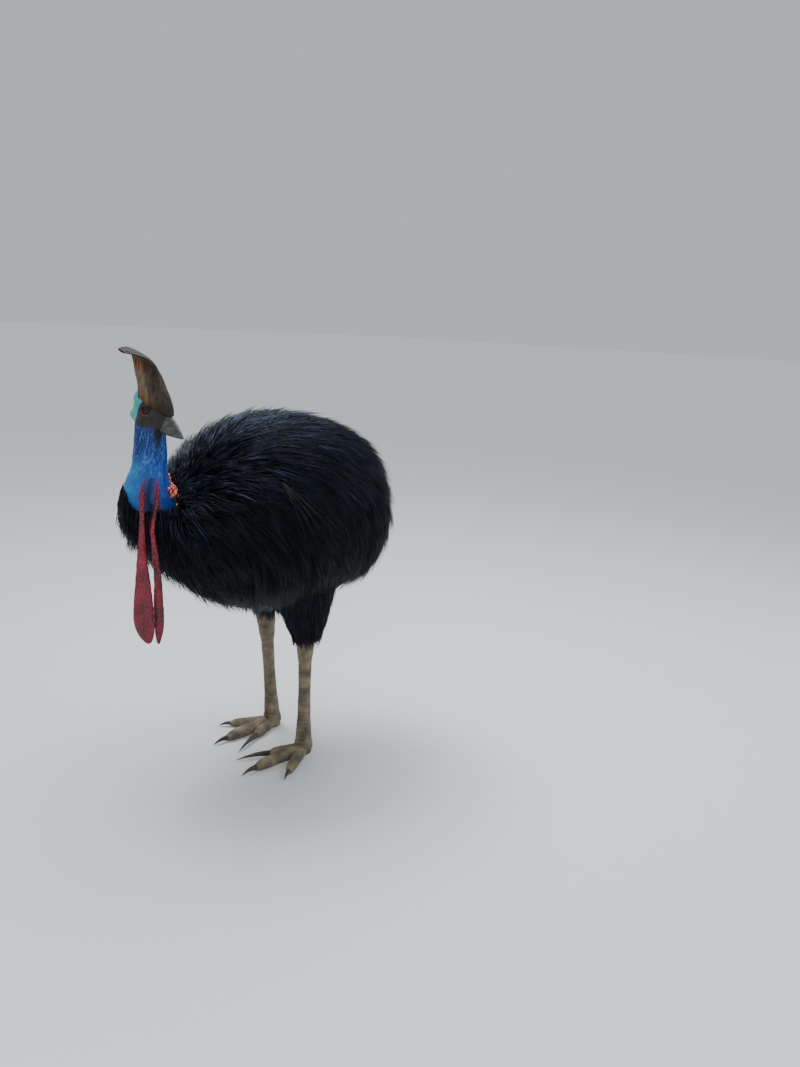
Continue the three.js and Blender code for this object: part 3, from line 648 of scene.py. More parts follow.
# Painted shade: the throat just under the bill is painted near black, where the shadow of the chin falls.
shade_under_bill = step_between(high, 952, 990) * (1 - step_between(np.abs(turn + 1), 9, 24))
lay(TINTS["throat"], (on_neck + on_head) * shade_under_bill * step_between(-up, 28, 34))
face = (on_head + on_neck) * (high > 960) * step_between(up, -39 + 0.1 * ahead, -33 + 0.1 * ahead)
lay(TINTS["cheek"], face * step_between(ahead, -27, -19))
lay(TINTS["gape"], face * step_between(ahead, 4, 20))
brow = step_between(ahead, -27, -20) * (1 - step_between(ahead, 10, 20)) * step_between(up, 4, 9)
lay(TINTS["brow"], face * 0.95 * brow)
nape = step_between(-ahead, 20, 26) * np.where(up > -8, 1, 1 - step_between(-up, 38, 46))
nape *= on_head + on_neck * (high > 990)
lay(TINTS["turquoise"], nape)
# Painted highlight: pale streaks laid over the turquoise nape along the vein pattern.
lay(TINTS["painted_fold_highlight"], nape * 0.6 * veins_and_highlights)
rim_across = np.hypot(ahead / LID_RIM["radius"], up / (LID_RIM["radius"] * LID_RIM["flatness"]))
lay(TINTS["lid"], on_head * bump_at(rim_across, 0.95, 0.25))
lay(TINTS["under_eye"], on_head * 0.9 * bump_at(rim_across, 1.15, 0.15) * step_between(-up, 3, 7))
leg_tone = np.array([noise.noise(Vector(place) / 28) for place in places])
on_leg = 1 - step_between(high, 395, 425)
lay(TINTS["leg"], on_leg)
lay(TINTS["pale_scale"], on_leg * step_between(leg_tone, 0.0, 0.5))
lay(TINTS["dark_scale"], on_leg * step_between(-leg_tone, 0.05, 0.6))
lay(TINTS["olive"], on_leg * 0.5 * bump_at(high, 335, 60) * step_between(leg_tone, -0.2, 0.4))
marking = skin.data.color_attributes.new("marking", "FLOAT_COLOR", "POINT")
marking.data.foreach_set("color", np.concatenate((markings, np.ones((len(markings), 1))), 1).ravel())


MIX_SHARE, MIX_FIRST, MIX_SECOND, MIX_COLOUR = 0, 6, 7, 2  # places of a Mix node's colour sockets


class Finish:
    """A material built up from nodes, a pattern at a time."""

    def __init__(self, name, roughness, **fixed):
        self.material = bpy.data.materials.new(name)
        self.material.use_nodes = True
        self.tree = self.material.node_tree
        self.shader = self.tree.nodes["Principled BSDF"]
        self.shader.inputs["Roughness"].default_value = roughness
        for socket, value in fixed.items():
            self.shader.inputs[socket.replace("_", " ")].default_value = value
        self.surface = None

    def node(self, kind, inputs=None, **settings):
        node = self.tree.nodes.new(kind)
        for key, value in settings.items():
            setattr(node, key, value)
        for socket, value in (inputs or {}).items():
            if isinstance(value, bpy.types.NodeSocket):
                self.tree.links.new(value, node.inputs[socket])
            else:
                node.inputs[socket].default_value = value
        return node

    def stretched(self, scale):
        """The place on the object, stretched by a scale along each axis."""
        place = self.node("ShaderNodeTexCoord").outputs["Object"]
        return self.node("ShaderNodeMapping", {"Vector": place, "Scale": scale}).outputs["Vector"]

    def cloudy(self, scale, detail=4, at=(1, 1, 1)):
        return self.node(
            "ShaderNodeTexNoise", {"Vector": self.stretched(at), "Scale": scale, "Detail": detail},
        ).outputs["Fac"]

    def cells(self, scale, at=(1, 1, 1), feature="F1", randomness=1.0):
        return self.node(
            "ShaderNodeTexVoronoi", {"Vector": self.stretched(at), "Scale": scale, "Randomness": randomness},
            feature=feature,
        ).outputs["Distance"]

    def attribute(self, name, output="Fac"):
        return self.node("ShaderNodeAttribute", attribute_name=name).outputs[output]

    def ramp(self, value, *stops):
        node = self.node("ShaderNodeValToRGB", {"Fac": value})
        elements = node.color_ramp.elements
        while len(elements) < len(stops):
            elements.new(0.5)
        for element, (at, colour) in zip(elements, stops):
            element.position = at
            element.color = (*(paint(colour) if isinstance(colour, str) else (colour,) * 3), 1)
        return node.outputs["Color"]

    def mixed(self, share, first, second, blend="MIX"):
        node = self.node("ShaderNodeMix", data_type="RGBA", blend_type=blend)
        for index, value in ((MIX_SHARE, share), (MIX_FIRST, first), (MIX_SECOND, second)):
            if isinstance(value, bpy.types.NodeSocket):
                self.tree.links.new(value, node.inputs[index])
            else:
                node.inputs[index].default_value = value if index == MIX_SHARE else (*value, 1)
        return node.outputs[MIX_COLOUR]

    def colour(self, socket):
        self.tree.links.new(socket, self.shader.inputs["Base Color"])

    def rough(self, value, low, high):
        span = self.node("ShaderNodeMapRange", {"Value": value, "To Min": low, "To Max": high})
        self.tree.links.new(span.outputs["Result"], self.shader.inputs["Roughness"])

    def relief(self, height, depth, strength=1.0):
        inputs = {"Height": height, "Distance": depth, "Strength": strength}
        if self.surface:
            inputs["Normal"] = self.surface
        self.surface = self.node("ShaderNodeBump", inputs).outputs["Normal"]
        self.tree.links.new(self.surface, self.shader.inputs["Normal"])


bare = Finish("bare_skin", 0.5, Specular_IOR_Level=0.32)
pebbles = bare.cells(330)
lit_pebbles = bare.ramp(pebbles, (0.0, 1.0), (0.55, 0.45))
patchy = bare.ramp(bare.cloudy(45), (0.3, 0.62), (0.7, 1.0))
pebbled = bare.mixed(0.55, bare.attribute("marking", "Color"), lit_pebbles, "MULTIPLY")
bare.colour(bare.mixed(1.0, pebbled, patchy, "MULTIPLY"))
bare.relief(bare.cells(330), 0.0012, 0.7)
bare.relief(bare.cloudy(150, 5, (1, 1, 0.25)), 0.0015, 0.6)
bare.rough(pebbles, 0.4, 0.62)

scaly = Finish("leg_scales", 0.6)
scale_edges = scaly.cells(210, (1, 1, 0.8), "DISTANCE_TO_EDGE")
grime = scaly.ramp(scaly.cloudy(60, 6), (0.35, 0.55), (0.65, 1.0))
seams = scaly.ramp(scale_edges, (0.0, 0.35), (0.12, 1.0))
scaled = scaly.mixed(0.8, scaly.attribute("marking", "Color"), seams, "MULTIPLY")
scaly.colour(scaly.mixed(0.85, scaled, grime, "MULTIPLY"))
scaly.relief(scaly.ramp(scale_edges, (0.0, 0.0), (0.25, 1.0)), 0.0012, 0.8)
scaly.relief(scaly.cloudy(400, 4), 0.0006, 0.5)
scaly.rough(scaly.cloudy(60, 6), 0.45, 0.75)
skin.data.materials.clear()
skin.data.materials.append(bare.material)
skin.data.materials.append(scaly.material)
SCALY_BELOW = 0.43
face_heights = np.array([face.center.z for face in skin.data.polygons])
skin.data.polygons.foreach_set("material_index", (face_heights < SCALY_BELOW).astype(np.int32))
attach(skin, "root")
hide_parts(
    "head", "neck_upper", "neck_lower", "torso", "rump", "thigh_left", "thigh_right",
    "shank_left", "shank_right", *(f"toe_{toe}_{side}" for toe in TOES for side in ("left", "right")),
)


# Eyes: wet, dark brown balls set well into the lids, each with a round black pupil and a lighter ring of
# iris. The colours run outwards from the middle of the pupil.
PUPIL = ((0.0, "010101"), (0.26, "010101"))
IRIS = ((0.3, "2c1206"), (0.42, "431c09"), (0.56, "1f0d05"))
EYE_RIM = ((0.62, "0a0605"), (1.0, "0c0908"))
IRIS_REACH = 1.2
eye_gloss = Finish("eye_gloss", 0.12, Specular_IOR_Level=0.15, Coat_Weight=0.3, Coat_Roughness=0.03)
eye_gloss.colour(eye_gloss.mixed(
    0.5, eye_gloss.ramp(eye_gloss.attribute("from_pupil"), *PUPIL, *IRIS, *EYE_RIM),
    eye_gloss.ramp(eye_gloss.cloudy(900, 3), (0.3, 0.5), (0.7, 1.0)), "MULTIPLY",
))
for name, side in (("left", 1), ("right", -1)):
    ball = closed_form(48, 32, lambda t, angle, side=side: in_head(
        EYE["radius"] * math.sin(math.pi * t) * math.cos(angle),
        side * (EYE["aside"] + EYE["radius"] * math.cos(math.pi * t)),
        EYE["radius"] * math.sin(math.pi * t) * math.sin(angle),
    ))
    eye = made(f"eye_{name}_ball", ball)
    reach = eye.data.attributes.new("from_pupil", "FLOAT", "POINT")
    pupil_way = head_left * side
    eye_middle = metres(in_head(0, side * EYE["aside"], 0))
    reach.data.foreach_set("value", [
        (vertex.co - eye_middle).normalized().angle(pupil_way) / IRIS_REACH for vertex in eye.data.vertices
    ])
    eye.data.materials.append(eye_gloss.material)
    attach(eye, "root")
    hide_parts(f"eye_{name}")


# The bill: a horn sheath over bone, flattened from side to side, with a raised ridge along its top, slit
# nostrils in long grooves, and an upper half that closes over the lower along the mouth.
BILL = {
    "base": 38, "length": 78, "root": 14, "mouth": -20, "mouth_slope": 0.09,
    "middle": (-14, -14, -15, -18, -22),
    "high": (28, 27.5, 24.5, 19, 12),
    "wide": (17, 15.5, 13, 10.5, 8),
}
MOUTH_GAP = 0.35
NOSTRIL = {"ahead": 48, "up": -17, "radii": (8, 2.3), "depth": 2.8}
BILL_RIDGE = {"height": 1.3, "width": 0.13}
BILL_GROOVE = {"depth": 0.9, "at": 0.75, "width": 0.14}


def from_head(place):
    """How far ahead, left and up of the middle of the head a finished place is, in millimetres."""
    spot = (place - STANCE) * 1000 - head_centre
    return spot.dot(head_ahead), spot.dot(head_left), spot.dot(head_up)


def bill_place(t, angle):
    back = BILL["base"] - BILL["root"]
    centre = in_head(back + (BILL["length"] + BILL["root"]) * t, 0, along(BILL["middle"], t))
    taper = math.sqrt(max(0, 1 - t ** 2.4))
    from_top = abs(math.atan2(math.sin(angle), math.cos(angle)))
    ridge = BILL_RIDGE["height"] * math.exp(-(math.sin(angle / 2) / BILL_RIDGE["width"]) ** 2) * (1 - t)
    groove = BILL_GROOVE["depth"] * (1 - t)
    groove *= math.exp(-((from_top - BILL_GROOVE["at"]) / BILL_GROOVE["width"]) ** 2)
    high = along(BILL["high"], t) * taper + ridge - groove
    wide = along(BILL["wide"], t) * taper - groove
    return centre + head_up * high * math.cos(angle) + head_left * wide * math.sin(angle)


def bill_shape():
    """The whole bill, with its nostrils sunk into both sides."""
    rings = 100
    root = in_head(BILL["base"] - BILL["root"], 0, BILL["middle"][0])

    def place(share, angle):
        t = max(0, (share * rings - 1) / (rings - 1))
        return bill_place(t, angle) if share > 0 else root
    shape = closed_form(72, rings, place)
    for vertex in shape.verts:
        ahead, left, up = from_head(vertex.co)
        across = math.hypot(
            (ahead - BILL["base"] - NOSTRIL["ahead"]) / NOSTRIL["radii"][0],
            (up - NOSTRIL["up"]) / NOSTRIL["radii"][1],
        )
        if abs(left) > 2:
            vertex.co -= head_left * math.copysign(NOSTRIL["depth"], left) / 1000 * math.exp(-across ** 4)
    return shape


bill_horn = Finish("bill_horn", 0.42, Specular_IOR_Level=0.5)
grain = bill_horn.cloudy(130, 6, (0.22, 1, 1))
# Painted highlight: the horn is painted lighter along the top of the ridge, darker down the sides and the
# lower half.
bill_horn.colour(bill_horn.mixed(
    bill_horn.ramp(bill_horn.attribute("from_ridge"), (0.0, 0.8), (0.3, 0.0)),
    bill_horn.ramp(grain, (0.3, "202224"), (0.52, "3a3d3c"), (0.72, "595b54")),
    bill_horn.ramp(grain, (0.3, "4d5050"), (0.7, "7c7e78")),
))
bill_horn.relief(bill_horn.cloudy(200, 5, (0.2, 1, 1)), 0.0012, 0.7)
bill_horn.rough(grain, 0.32, 0.55)
mouth_way = (head_up + head_ahead * BILL["mouth_slope"]).normalized()
mouth_spot = metres(in_head(BILL["base"], 0, BILL["mouth"]))
for name, keep in (("upper", 1), ("lower", -1)):
    half = bill_shape()
    bmesh.ops.bisect_plane(
        half, geom=half.verts[:] + half.edges[:] + half.faces[:], dist=1e-7, clear_inner=True,
        plane_co=mouth_spot + mouth_way * keep * MOUTH_GAP / 1000, plane_no=mouth_way * keep,
    )
    bmesh.ops.holes_fill(half, edges=[edge for edge in half.edges if edge.is_boundary])
    bmesh.ops.recalc_face_normals(half, faces=half.faces)
    bill = made(f"bill_{name}_sheath", half)
    # How far from the ridge each point is, which sets where the painted highlight falls.
    from_ridge = bill.data.attributes.new("from_ridge", "FLOAT", "POINT")
    spots = [from_head(vertex.co) for vertex in bill.data.vertices]
    from_ridge.data.foreach_set("value", [abs(left) / 14 + 3 * (up < -12) for _, left, up in spots])
    bill.data.materials.append(bill_horn.material)
    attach(bill, "root")
    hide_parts(f"bill_{name}")


# The casque: a tall blade of spongy bone under a thin skin of horn, streaked down its sides, whose crest has
# softened and flopped over to the bird's right.
CASQUE = {
    "path": (
        (2, 0, 12), (-8, 0, 36), (-31, 0, 62), (-52, -1, 87),
        (-66, -8, 106), (-75, -24, 116), (-79, -44, 119), (-81, -61, 118),
    ),
    "length": (124, 122, 116, 101, 85, 68, 48, 26),
    "thickness": (48, 43, 37, 30, 21, 11, 8, 6),
    "lean": (0, 0, 0, 6, 32, 66, 88, 100),
}
CASQUE_RINGS = 130
CASQUE_HEIGHT = 125
CASQUE_LENGTH = 120
casque_path = [in_head(*point) for point in CASQUE["path"]]


def casque_place(share, angle):
    ring = round(share * (CASQUE_RINGS + 1))
    t = min(max((ring - 1) / (CASQUE_RINGS - 1), 0), 1)
    centre = on_curve(casque_path, t)
    if ring in (0, CASQUE_RINGS + 1):
        return centre
    lean = math.radians(along(CASQUE["lean"], t))
    aside = head_left * math.cos(lean) + head_up * math.sin(lean)
    place = centre + head_ahead * along(CASQUE["length"], t) / 2 * math.cos(angle)
    place += aside * along(CASQUE["thickness"], t) / 2 * math.sin(angle)
    flute = noise.noise(Vector((math.cos(angle) * 7, math.sin(angle) * 3.5, t * 1.6))) * 1.1
    dent = noise.noise(place / 24) * 1.3 + abs(noise.noise(place / 7)) * 0.7 * smooth(t, 0.45, 0.62)
    outward = (head_ahead * math.cos(angle) * 0.4 + aside * math.sin(angle)).normalized()
    return place + outward * (flute - dent) * (1 - smooth(t, 0.93, 1))


casque = made("casque_blade", closed_form(120, CASQUE_RINGS + 1, casque_place))
rise = casque.data.attributes.new("rise", "FLOAT", "POINT")
frontward = casque.data.attributes.new("frontward", "FLOAT", "POINT")
casque_ahead, _, casque_up = np.array([from_head(vertex.co) for vertex in casque.data.vertices]).T
rise.data.foreach_set("value", casque_up / CASQUE_HEIGHT)
middle_ahead, _, middle_up = zip(*CASQUE["path"][:7])
casque_middle = np.interp(casque_up, middle_up, middle_ahead)
frontward.data.foreach_set("value", (casque_ahead - casque_middle) / CASQUE_LENGTH + 0.5)
casque_horn = Finish("casque_horn", 0.55, Specular_IOR_Level=0.22)
streaks = casque_horn.cloudy(9, 6, (14, 14, 1.6))
fine_streaks = casque_horn.cloudy(22, 5, (16, 16, 1.4))
rear_tone = casque_horn.ramp(
    casque_horn.attribute("rise"), (0.1, "6b4c20"), (0.2, "7d6038"), (0.34, "776c59"), (0.6, "716452"),
    (0.72, "8a4a26"), (0.84, "743a1e"), (0.9, "2a1a14"), (1.0, "1c1512"),
)
# Painted shade: the front of the blade is painted darker than the rear, as if the front were in shadow.
painted_shade_front = casque_horn.ramp(
    casque_horn.attribute("rise"), (0.05, "2a2019"), (0.3, "3a322a"), (0.6, "433a30"), (0.82, "3a2a20"),
    (1.0, "1c1512"),
)
tone_with_front_shade = casque_horn.mixed(
    casque_horn.ramp(casque_horn.attribute("frontward"), (0.44, 0.0), (0.72, 1.0)), rear_tone, painted_shade_front,
)
broad_tone = casque_horn.ramp(streaks, (0.34, 0.3), (0.58, 1.0))
fine_tone = casque_horn.ramp(fine_streaks, (0.38, 0.35), (0.62, 1.0))
streaked = casque_horn.mixed(0.85, tone_with_front_shade, broad_tone, "MULTIPLY")
streaked = casque_horn.mixed(0.7, streaked, fine_tone, "MULTIPLY")
cracks = casque_horn.ramp(casque_horn.cells(48, (1, 1, 0.4), "DISTANCE_TO_EDGE"), (0.0, 0.03), (0.1, 1.0))
cracked_at = casque_horn.ramp(
    casque_horn.attribute("rise"), (0.55, 0.0), (0.7, 0.8), (0.86, 0.6), (0.95, 0.1),
)
crackled = casque_horn.mixed(cracked_at, (1, 1, 1), cracks)
casque_horn.colour(casque_horn.mixed(1.0, streaked, crackled, "MULTIPLY"))
casque_horn.relief(fine_streaks, 0.0012, 0.7)
casque_horn.relief(crackled, 0.0012, 0.6)
casque_horn.rough(streaks, 0.45, 0.7)
casque.data.materials.append(casque_horn.material)
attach(casque, "root")
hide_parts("casque")


# Wattles: two long lobes of pimpled red skin that start as ridges on the throat and hang clear of the breast.
WATTLES = {
    "right": {
        "path": (
            (48, -471, 872), (51, -477, 825), (72, -490, 766), (79, -496, 704),
            (80, -496, 640), (79, -496, 575), (77, -494, 528), (81, -484, 470),
        ),
        "half_width": (4.5, 5.5, 6.5, 11, 17.5, 23.5, 24.5, 17),
        "half_thickness": (5, 6, 7, 8, 9, 11, 12, 9),
    },
    "left": {
        "path": (
            (61, -437, 872), (65, -446, 824), (80, -466, 764), (84, -463, 704),
            (86, -459, 637), (86, -459, 572), (86, -458, 526), (85, -461, 464),
        ),
        "half_width": (4, 4.5, 5.5, 8, 9.5, 12, 12, 8.5),
        "half_thickness": (5, 6, 7, 7, 8, 9, 10, 8),
    },
}
WATTLE_FACING = -28
WATTLE_ROUND_END = 0.1
WATTLE_RELIEF = {"crinkle": 1.2, "crease": -1.5, "beads": -1.3}
wattle_red = Finish(
    "wattle_red", 0.5, Specular_IOR_Level=0.55, Subsurface_Weight=0.08, Subsurface_Scale=0.004,
)
pimples = wattle_red.cells(210)
blotches = wattle_red.cloudy(38, 5, (1, 1, 0.5))
# The pimples are painted lighter on their tops and darker in the grooves between them: painted highlight and
# painted shade.
wattle_red.colour(wattle_red.mixed(
    0.7, wattle_red.ramp(blotches, (0.32, "520215"), (0.5, "84042a"), (0.7, "a80d3e")),
    wattle_red.ramp(pimples, (0.0, 1.0), (0.6, 0.3)), "MULTIPLY",
))
wattle_red.relief(pimples, 0.0026, 1.0)
wattle_red.relief(wattle_red.cloudy(70, 5, (1, 1, 0.3)), 0.002, 0.6)
wattle_red.rough(pimples, 0.36, 0.6)


def wattle_crowd(t):
    """Rings stand closer towards the round lower end."""
    return 1 - (1 - t) ** 1.6


wattle_across = level(WATTLE_FACING + 90)
for name, wattle in WATTLES.items():
    wattle_axes = along_curve(wattle["path"], lambda t: wattle_across)

    def wattle_section(t, angle, wattle=wattle):
        t = wattle_crowd(t)
        end = math.sqrt(max(0, 1 - max(0, (t - 1 + WATTLE_ROUND_END) / WATTLE_ROUND_END) ** 2))
        end *= smooth(t, -0.02, 0.07)
        out, over = math.cos(angle), math.sin(angle)
        crinkle = noise.noise(Vector((out * 2.2, over * 2.2, t * 26))) * WATTLE_RELIEF["crinkle"]
        crease = WATTLE_RELIEF["crease"] * math.exp(-(math.sin(angle - 1.4) / 0.3) ** 2)
        crease *= smooth(t, 0.35, 0.6)
        beads = abs(noise.noise(Vector((out * 6, over * 6, t * 90)))) * WATTLE_RELIEF["beads"]
        change = (crinkle + crease * max(0, over) + beads) * end
        wide = along(wattle["half_width"], t) * end + change
        deep = along(wattle["half_thickness"], t) * end + change
        return wide, deep

    shape = limb(56, 190, lambda t, axes=wattle_axes: axes(wattle_crowd(t)), wattle_section)
    lobe = made(f"wattle_{name}_lobe", shape)
    lobe.data.materials.append(wattle_red.material)
    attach(lobe, "root")
    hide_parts(f"wattle_{name}")


# Caruncles: wet orange and red beads of bare skin beside and behind the foot of the neck. They stand in
# short, uneven rows, sunk a little into the hide.
CARUNCLE_PATCHES = (
    {"rows": 8, "heights": (798, 866), "turns": (66, 98), "columns": 3, "radius": 5.4},
    {"rows": 3, "heights": (866, 892), "turns": (116, 214), "columns": 11, "radius": 5.6},
)
chance = np.random.default_rng(20311)
beads = []
for patch in CARUNCLE_PATCHES:
    for row in range(patch["rows"]):
        for column in range(patch["columns"]):
            row_share = (row + 0.5 * (column % 2) + chance.uniform(-0.2, 0.2)) / patch["rows"]
            lowest, highest = patch["heights"]
            z = lowest + (highest - lowest) * row_share
            first_turn, last_turn = patch["turns"]
            bead_turn = first_turn + (last_turn - first_turn) * column / (patch["columns"] - 1)
            bead_turn += chance.uniform(-2.5, 2.5)
            bead_share = float(np.interp(z, neck_points[:, 2], neck_shares))
            centre, first, second = throat_axes(bead_share)
            swing = math.radians(bead_turn)
            depth, width = neck_section(bead_share, swing)
            out = first * math.cos(swing) + second * math.sin(swing)
            spot = centre + first * depth * math.cos(swing) + second * width * math.sin(swing)
            radius = patch["radius"] * chance.uniform(0.75, 1.2)
            bead = bmesh.new()
            bmesh.ops.create_icosphere(bead, subdivisions=2, radius=radius / 1000)
            bmesh.ops.scale(bead, verts=bead.verts, vec=(1, 1, chance.uniform(0.75, 1.3)))
            bmesh.ops.translate(bead, verts=bead.verts, vec=metres(spot + out * radius * 0.3))
            beads.append(bead)
caruncles = made("caruncles", *beads)
caruncle_red = Finish("caruncle_red", 0.25, Coat_Weight=0.6, Coat_Roughness=0.1)
# The beads run by noise from dark red through orange-red to cream; the cream is partly their own colour and
# partly painted highlight on their wet surface.
caruncle_red.colour(caruncle_red.ramp(
    caruncle_red.cloudy(110, 3), (0.34, "5c0a08"), (0.47, "a82410"), (0.56, "c8643a"), (0.64, "e8d2ae"),
))
caruncle_red.relief(caruncle_red.cloudy(500, 3), 0.0006, 0.5)
caruncles.data.materials.append(caruncle_red.material)
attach(caruncles, "root")


# Claws: dark, finely fluted horn, set into the ends of the toes and flatter underneath. The inner toe carries
# the long straight dagger that the bird kicks with.
CLAW = {"root": 8, "arch": 4, "tip_height": 3, "taper": 0.93, "flatness": 0.8, "keel": 0.14, "flute": 0.025}
claw_horn = Finish("claw_horn", 0.38)
claw_streaks = claw_horn.cloudy(60, 5)
claw_horn.colour(claw_horn.ramp(claw_streaks, (0.3, "171412"), (0.55, "2f2925"), (0.75, "50473d")))
claw_horn.relief(claw_horn.cloudy(300, 4), 0.0006, 0.6)
claw_horn.rough(claw_streaks, 0.3, 0.5)
for name, side in (("left", 1), ("right", -1)):
    foot_y = ANKLE * math.tan(math.radians(LEAN[name]))
    for toe_name, toe in TOES.items():
        heading = level(-90 - side * toe["turn"])
        across = heading.cross(Vector((0, 0, 1)))
        start = Vector((side * SHANK_X, foot_y, 0)) + heading * TOE_ROOT
        lift = toe["radius"][3] * TOE_SINK
        points = []
        for share in (0, 0.35, 0.7, 1):
            point = start + heading * (toe["length"] - CLAW["root"] + (toe["claw"] + CLAW["root"]) * share)
            arch = CLAW["arch"] * math.sin(math.pi * share)
            point.z = lift + arch - (lift - CLAW["tip_height"]) * share * share
            points.append(point)

        def claw_section(t, angle, toe=toe):
            fluted = 1 + CLAW["flute"] * math.cos(8 * angle)
            r = toe["claw_radius"] * (1 - CLAW["taper"] * t ** 1.3) * fluted
            keel = 1 - CLAW["keel"] * max(0, -math.sin(angle)) * smooth(t, 0.05, 0.3)
            return r * CLAW["flatness"], r * keel

        claw_axes = along_curve(points, lambda t, across=across: across)
        claw = made(f"claw_{toe_name}_{name}_horn", limb(32, 30, claw_axes, claw_section))
        for vertex in claw.data.vertices:
            vertex.co.z = max(vertex.co.z, SOLE)
        claw.data.materials.append(claw_horn.material)
        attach(claw, "root")
        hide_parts(f"claw_{toe_name}_{name}")


# Wings: tiny, each a short stalk and a wrist on the flank with a fan of bare, pointed quills of dark horn.
# They lie low in the coat, so that little of them shows between the feathers.
WING = {"at": (1, -0.5, 0.5), "stalk": 30, "stalk_shares": (0.78, 0.94), "wrist": 52, "wrist_share": 0.955}
WING_LIFT = -12
QUILLS = {"count": 4, "fan": 12, "length": 235, "radius": 3.2, "taper": 0.72, "step": 0.4}


def coat_point(ways, share):
    return COAT_CENTRE + ways * (coat_reach(ways) * share)[:, None]


def unit(vectors):
    return vectors / np.maximum(np.linalg.norm(vectors, axis=-1, keepdims=True), 1e-9)


def coat_normal(ways):
    """The way straight out of the coat's form, from how it slopes a little to each side."""
    aside = unit(np.cross(ways, (0.31, 0.59, 0.75)))
    onward = np.cross(ways, aside)
    apart = 0.06

    def slope(way):
        return coat_point(unit(ways + way * apart), 1) - coat_point(unit(ways - way * apart), 1)
    return unit(np.cross(slope(aside), slope(onward)))


def plain_lie(points):
    return np.tile((0, 0.65, -1.0), (len(points), 1))


def over_coat(ways, length, steps, turn, share_at, lie_at):
    """Points that run over the coat along the lie of the feathers, and the way out at each."""
    points, outward = [], []
    for step in range(steps + 1):
        here = coat_point(ways, share_at(step / steps))
        normal = coat_normal(ways)
        lie = lie_at(here)
        lie = unit(lie - normal * (lie * normal).sum(1, keepdims=True))
        swing = np.radians(turn)[:, None]
        lie = lie * np.cos(swing) + np.cross(normal, lie) * np.sin(swing)
        points.append(here)
        outward.append(normal)
        ways = unit(here + lie * (length / steps)[:, None] - COAT_CENTRE)
    return np.array(points).transpose(1, 0, 2), np.array(outward).transpose(1, 0, 2)


quill_horn = Finish("quill_horn", 0.5, Specular_IOR_Level=0.3)
quill_horn.colour(quill_horn.ramp(quill_horn.cloudy(70, 3), (0.35, "020203"), (0.7, "0b0b0e")))
quill_horn.relief(quill_horn.cloudy(200, 3), 0.0005, 0.4)


def strap(way, length, turn, share_at, steps, grid, radii):
    """A limb that runs over the coat from one place, as deep as share_at says and as thick as radii says."""
    path, outward = over_coat(way, np.array([length]), steps, np.array([turn]), share_at, plain_lie)
    curve = [Vector(point) for point in path[0]]

    def facing(t):
        return Vector(outward[0][round(t * steps)])
    return limb(*grid, along_curve(curve, facing), lambda t, angle: radii(t))


def stalk_share(t):
    root, end = WING["stalk_shares"]
    return root + (end - root) * t


def wrist_radii(t):
    return 5 * math.sin(0.5 + 2.1 * t), 13 * math.sin(0.6 + 1.9 * t)


def quill_radii(t):
    radius = QUILLS["radius"] * (1 - QUILLS["taper"] * t)
    return radius, radius


for name, side in (("left", 1), ("right", -1)):
    wing_way = unit(np.array([[side * WING["at"][0], WING["at"][1], WING["at"][2]]], float))
    flank_reach = coat_reach(wing_way)[0]
    wrist_share = WING["wrist_share"] + WING_LIFT / flank_reach
    shapes = [
        strap(wing_way, WING["stalk"], 0, stalk_share, 3, (16, 8), lambda t: (8, 9)),
        strap(wing_way, WING["wrist"], 0, lambda t: wrist_share, 6, (20, 16), wrist_radii),
    ]
    for i in range(QUILLS["count"]):
        fan = side * (-QUILLS["fan"] + 2 * QUILLS["fan"] * i / (QUILLS["count"] - 1))
        length = QUILLS["length"] * (1 - 0.1 * abs(i - 1.5))
        quill_share = 1 + (WING_LIFT + i * QUILLS["step"]) / flank_reach
        shapes.append(strap(wing_way, length, fan, lambda t: quill_share, 12, (12, 30), quill_radii))
    wing = made(f"wing_{name}_quills", *shapes)
    wing.data.materials.append(quill_horn.material)
    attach(wing, "root")
    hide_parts(f"wing_{name}")


# The coat: long, loose, hair-like feathers without hooks between their barbs. They lie back from the neck and
# over the rump, hang ever steeper down the flanks, and end in a ragged fringe along the belly and the thighs.
COAT = {
    "clumps": 4300, "per_clump": 12, "length": 205, "width": 4.0, "thick": 1.6, "clumping": 0.8,
    "spread": (280, 415, 275), "clump_scatter": 0.014, "tuft_scatter": 0.026, "underside": 0.7,
}
STEPS = 4  # lengths of each tuft from root to tip
NECK_FOOT = np.array((0.0, -392.0, 800.0))
NEAR_NECK = {
    "sway": 170, "shortest": 0.4, "short_from": 60, "full_from": 230, "roots_out": 0.18, "roots_near": 150,
}
LIE = {
    "front": -380, "length": 640,
    "least_drop": 0.12, "rump_drop": 1.35, "belly_drop": 1.5, "flank_drop": 0.45,
}
LOW_REAR_SWELL = 0.07
FRINGE = {"belly": 30, "rump": 30, "rearmost": 377, "ragged": 6}
# Tone is partly painted light: tufts facing up are painted lighter and bluer as a painted sheen, tufts facing
# down are painted darker as painted shade, and a small share of tufts are painted glints.
TONE = {"painted_sheen": 0.32, "base": -0.08, "shade": 0.28, "painted_glint": 0.3, "painted_glint_share": 0.04}
TUFT_WIDTHS = np.array((0.75, 1.0, 0.9, 0.55))
PATCH = 0.003


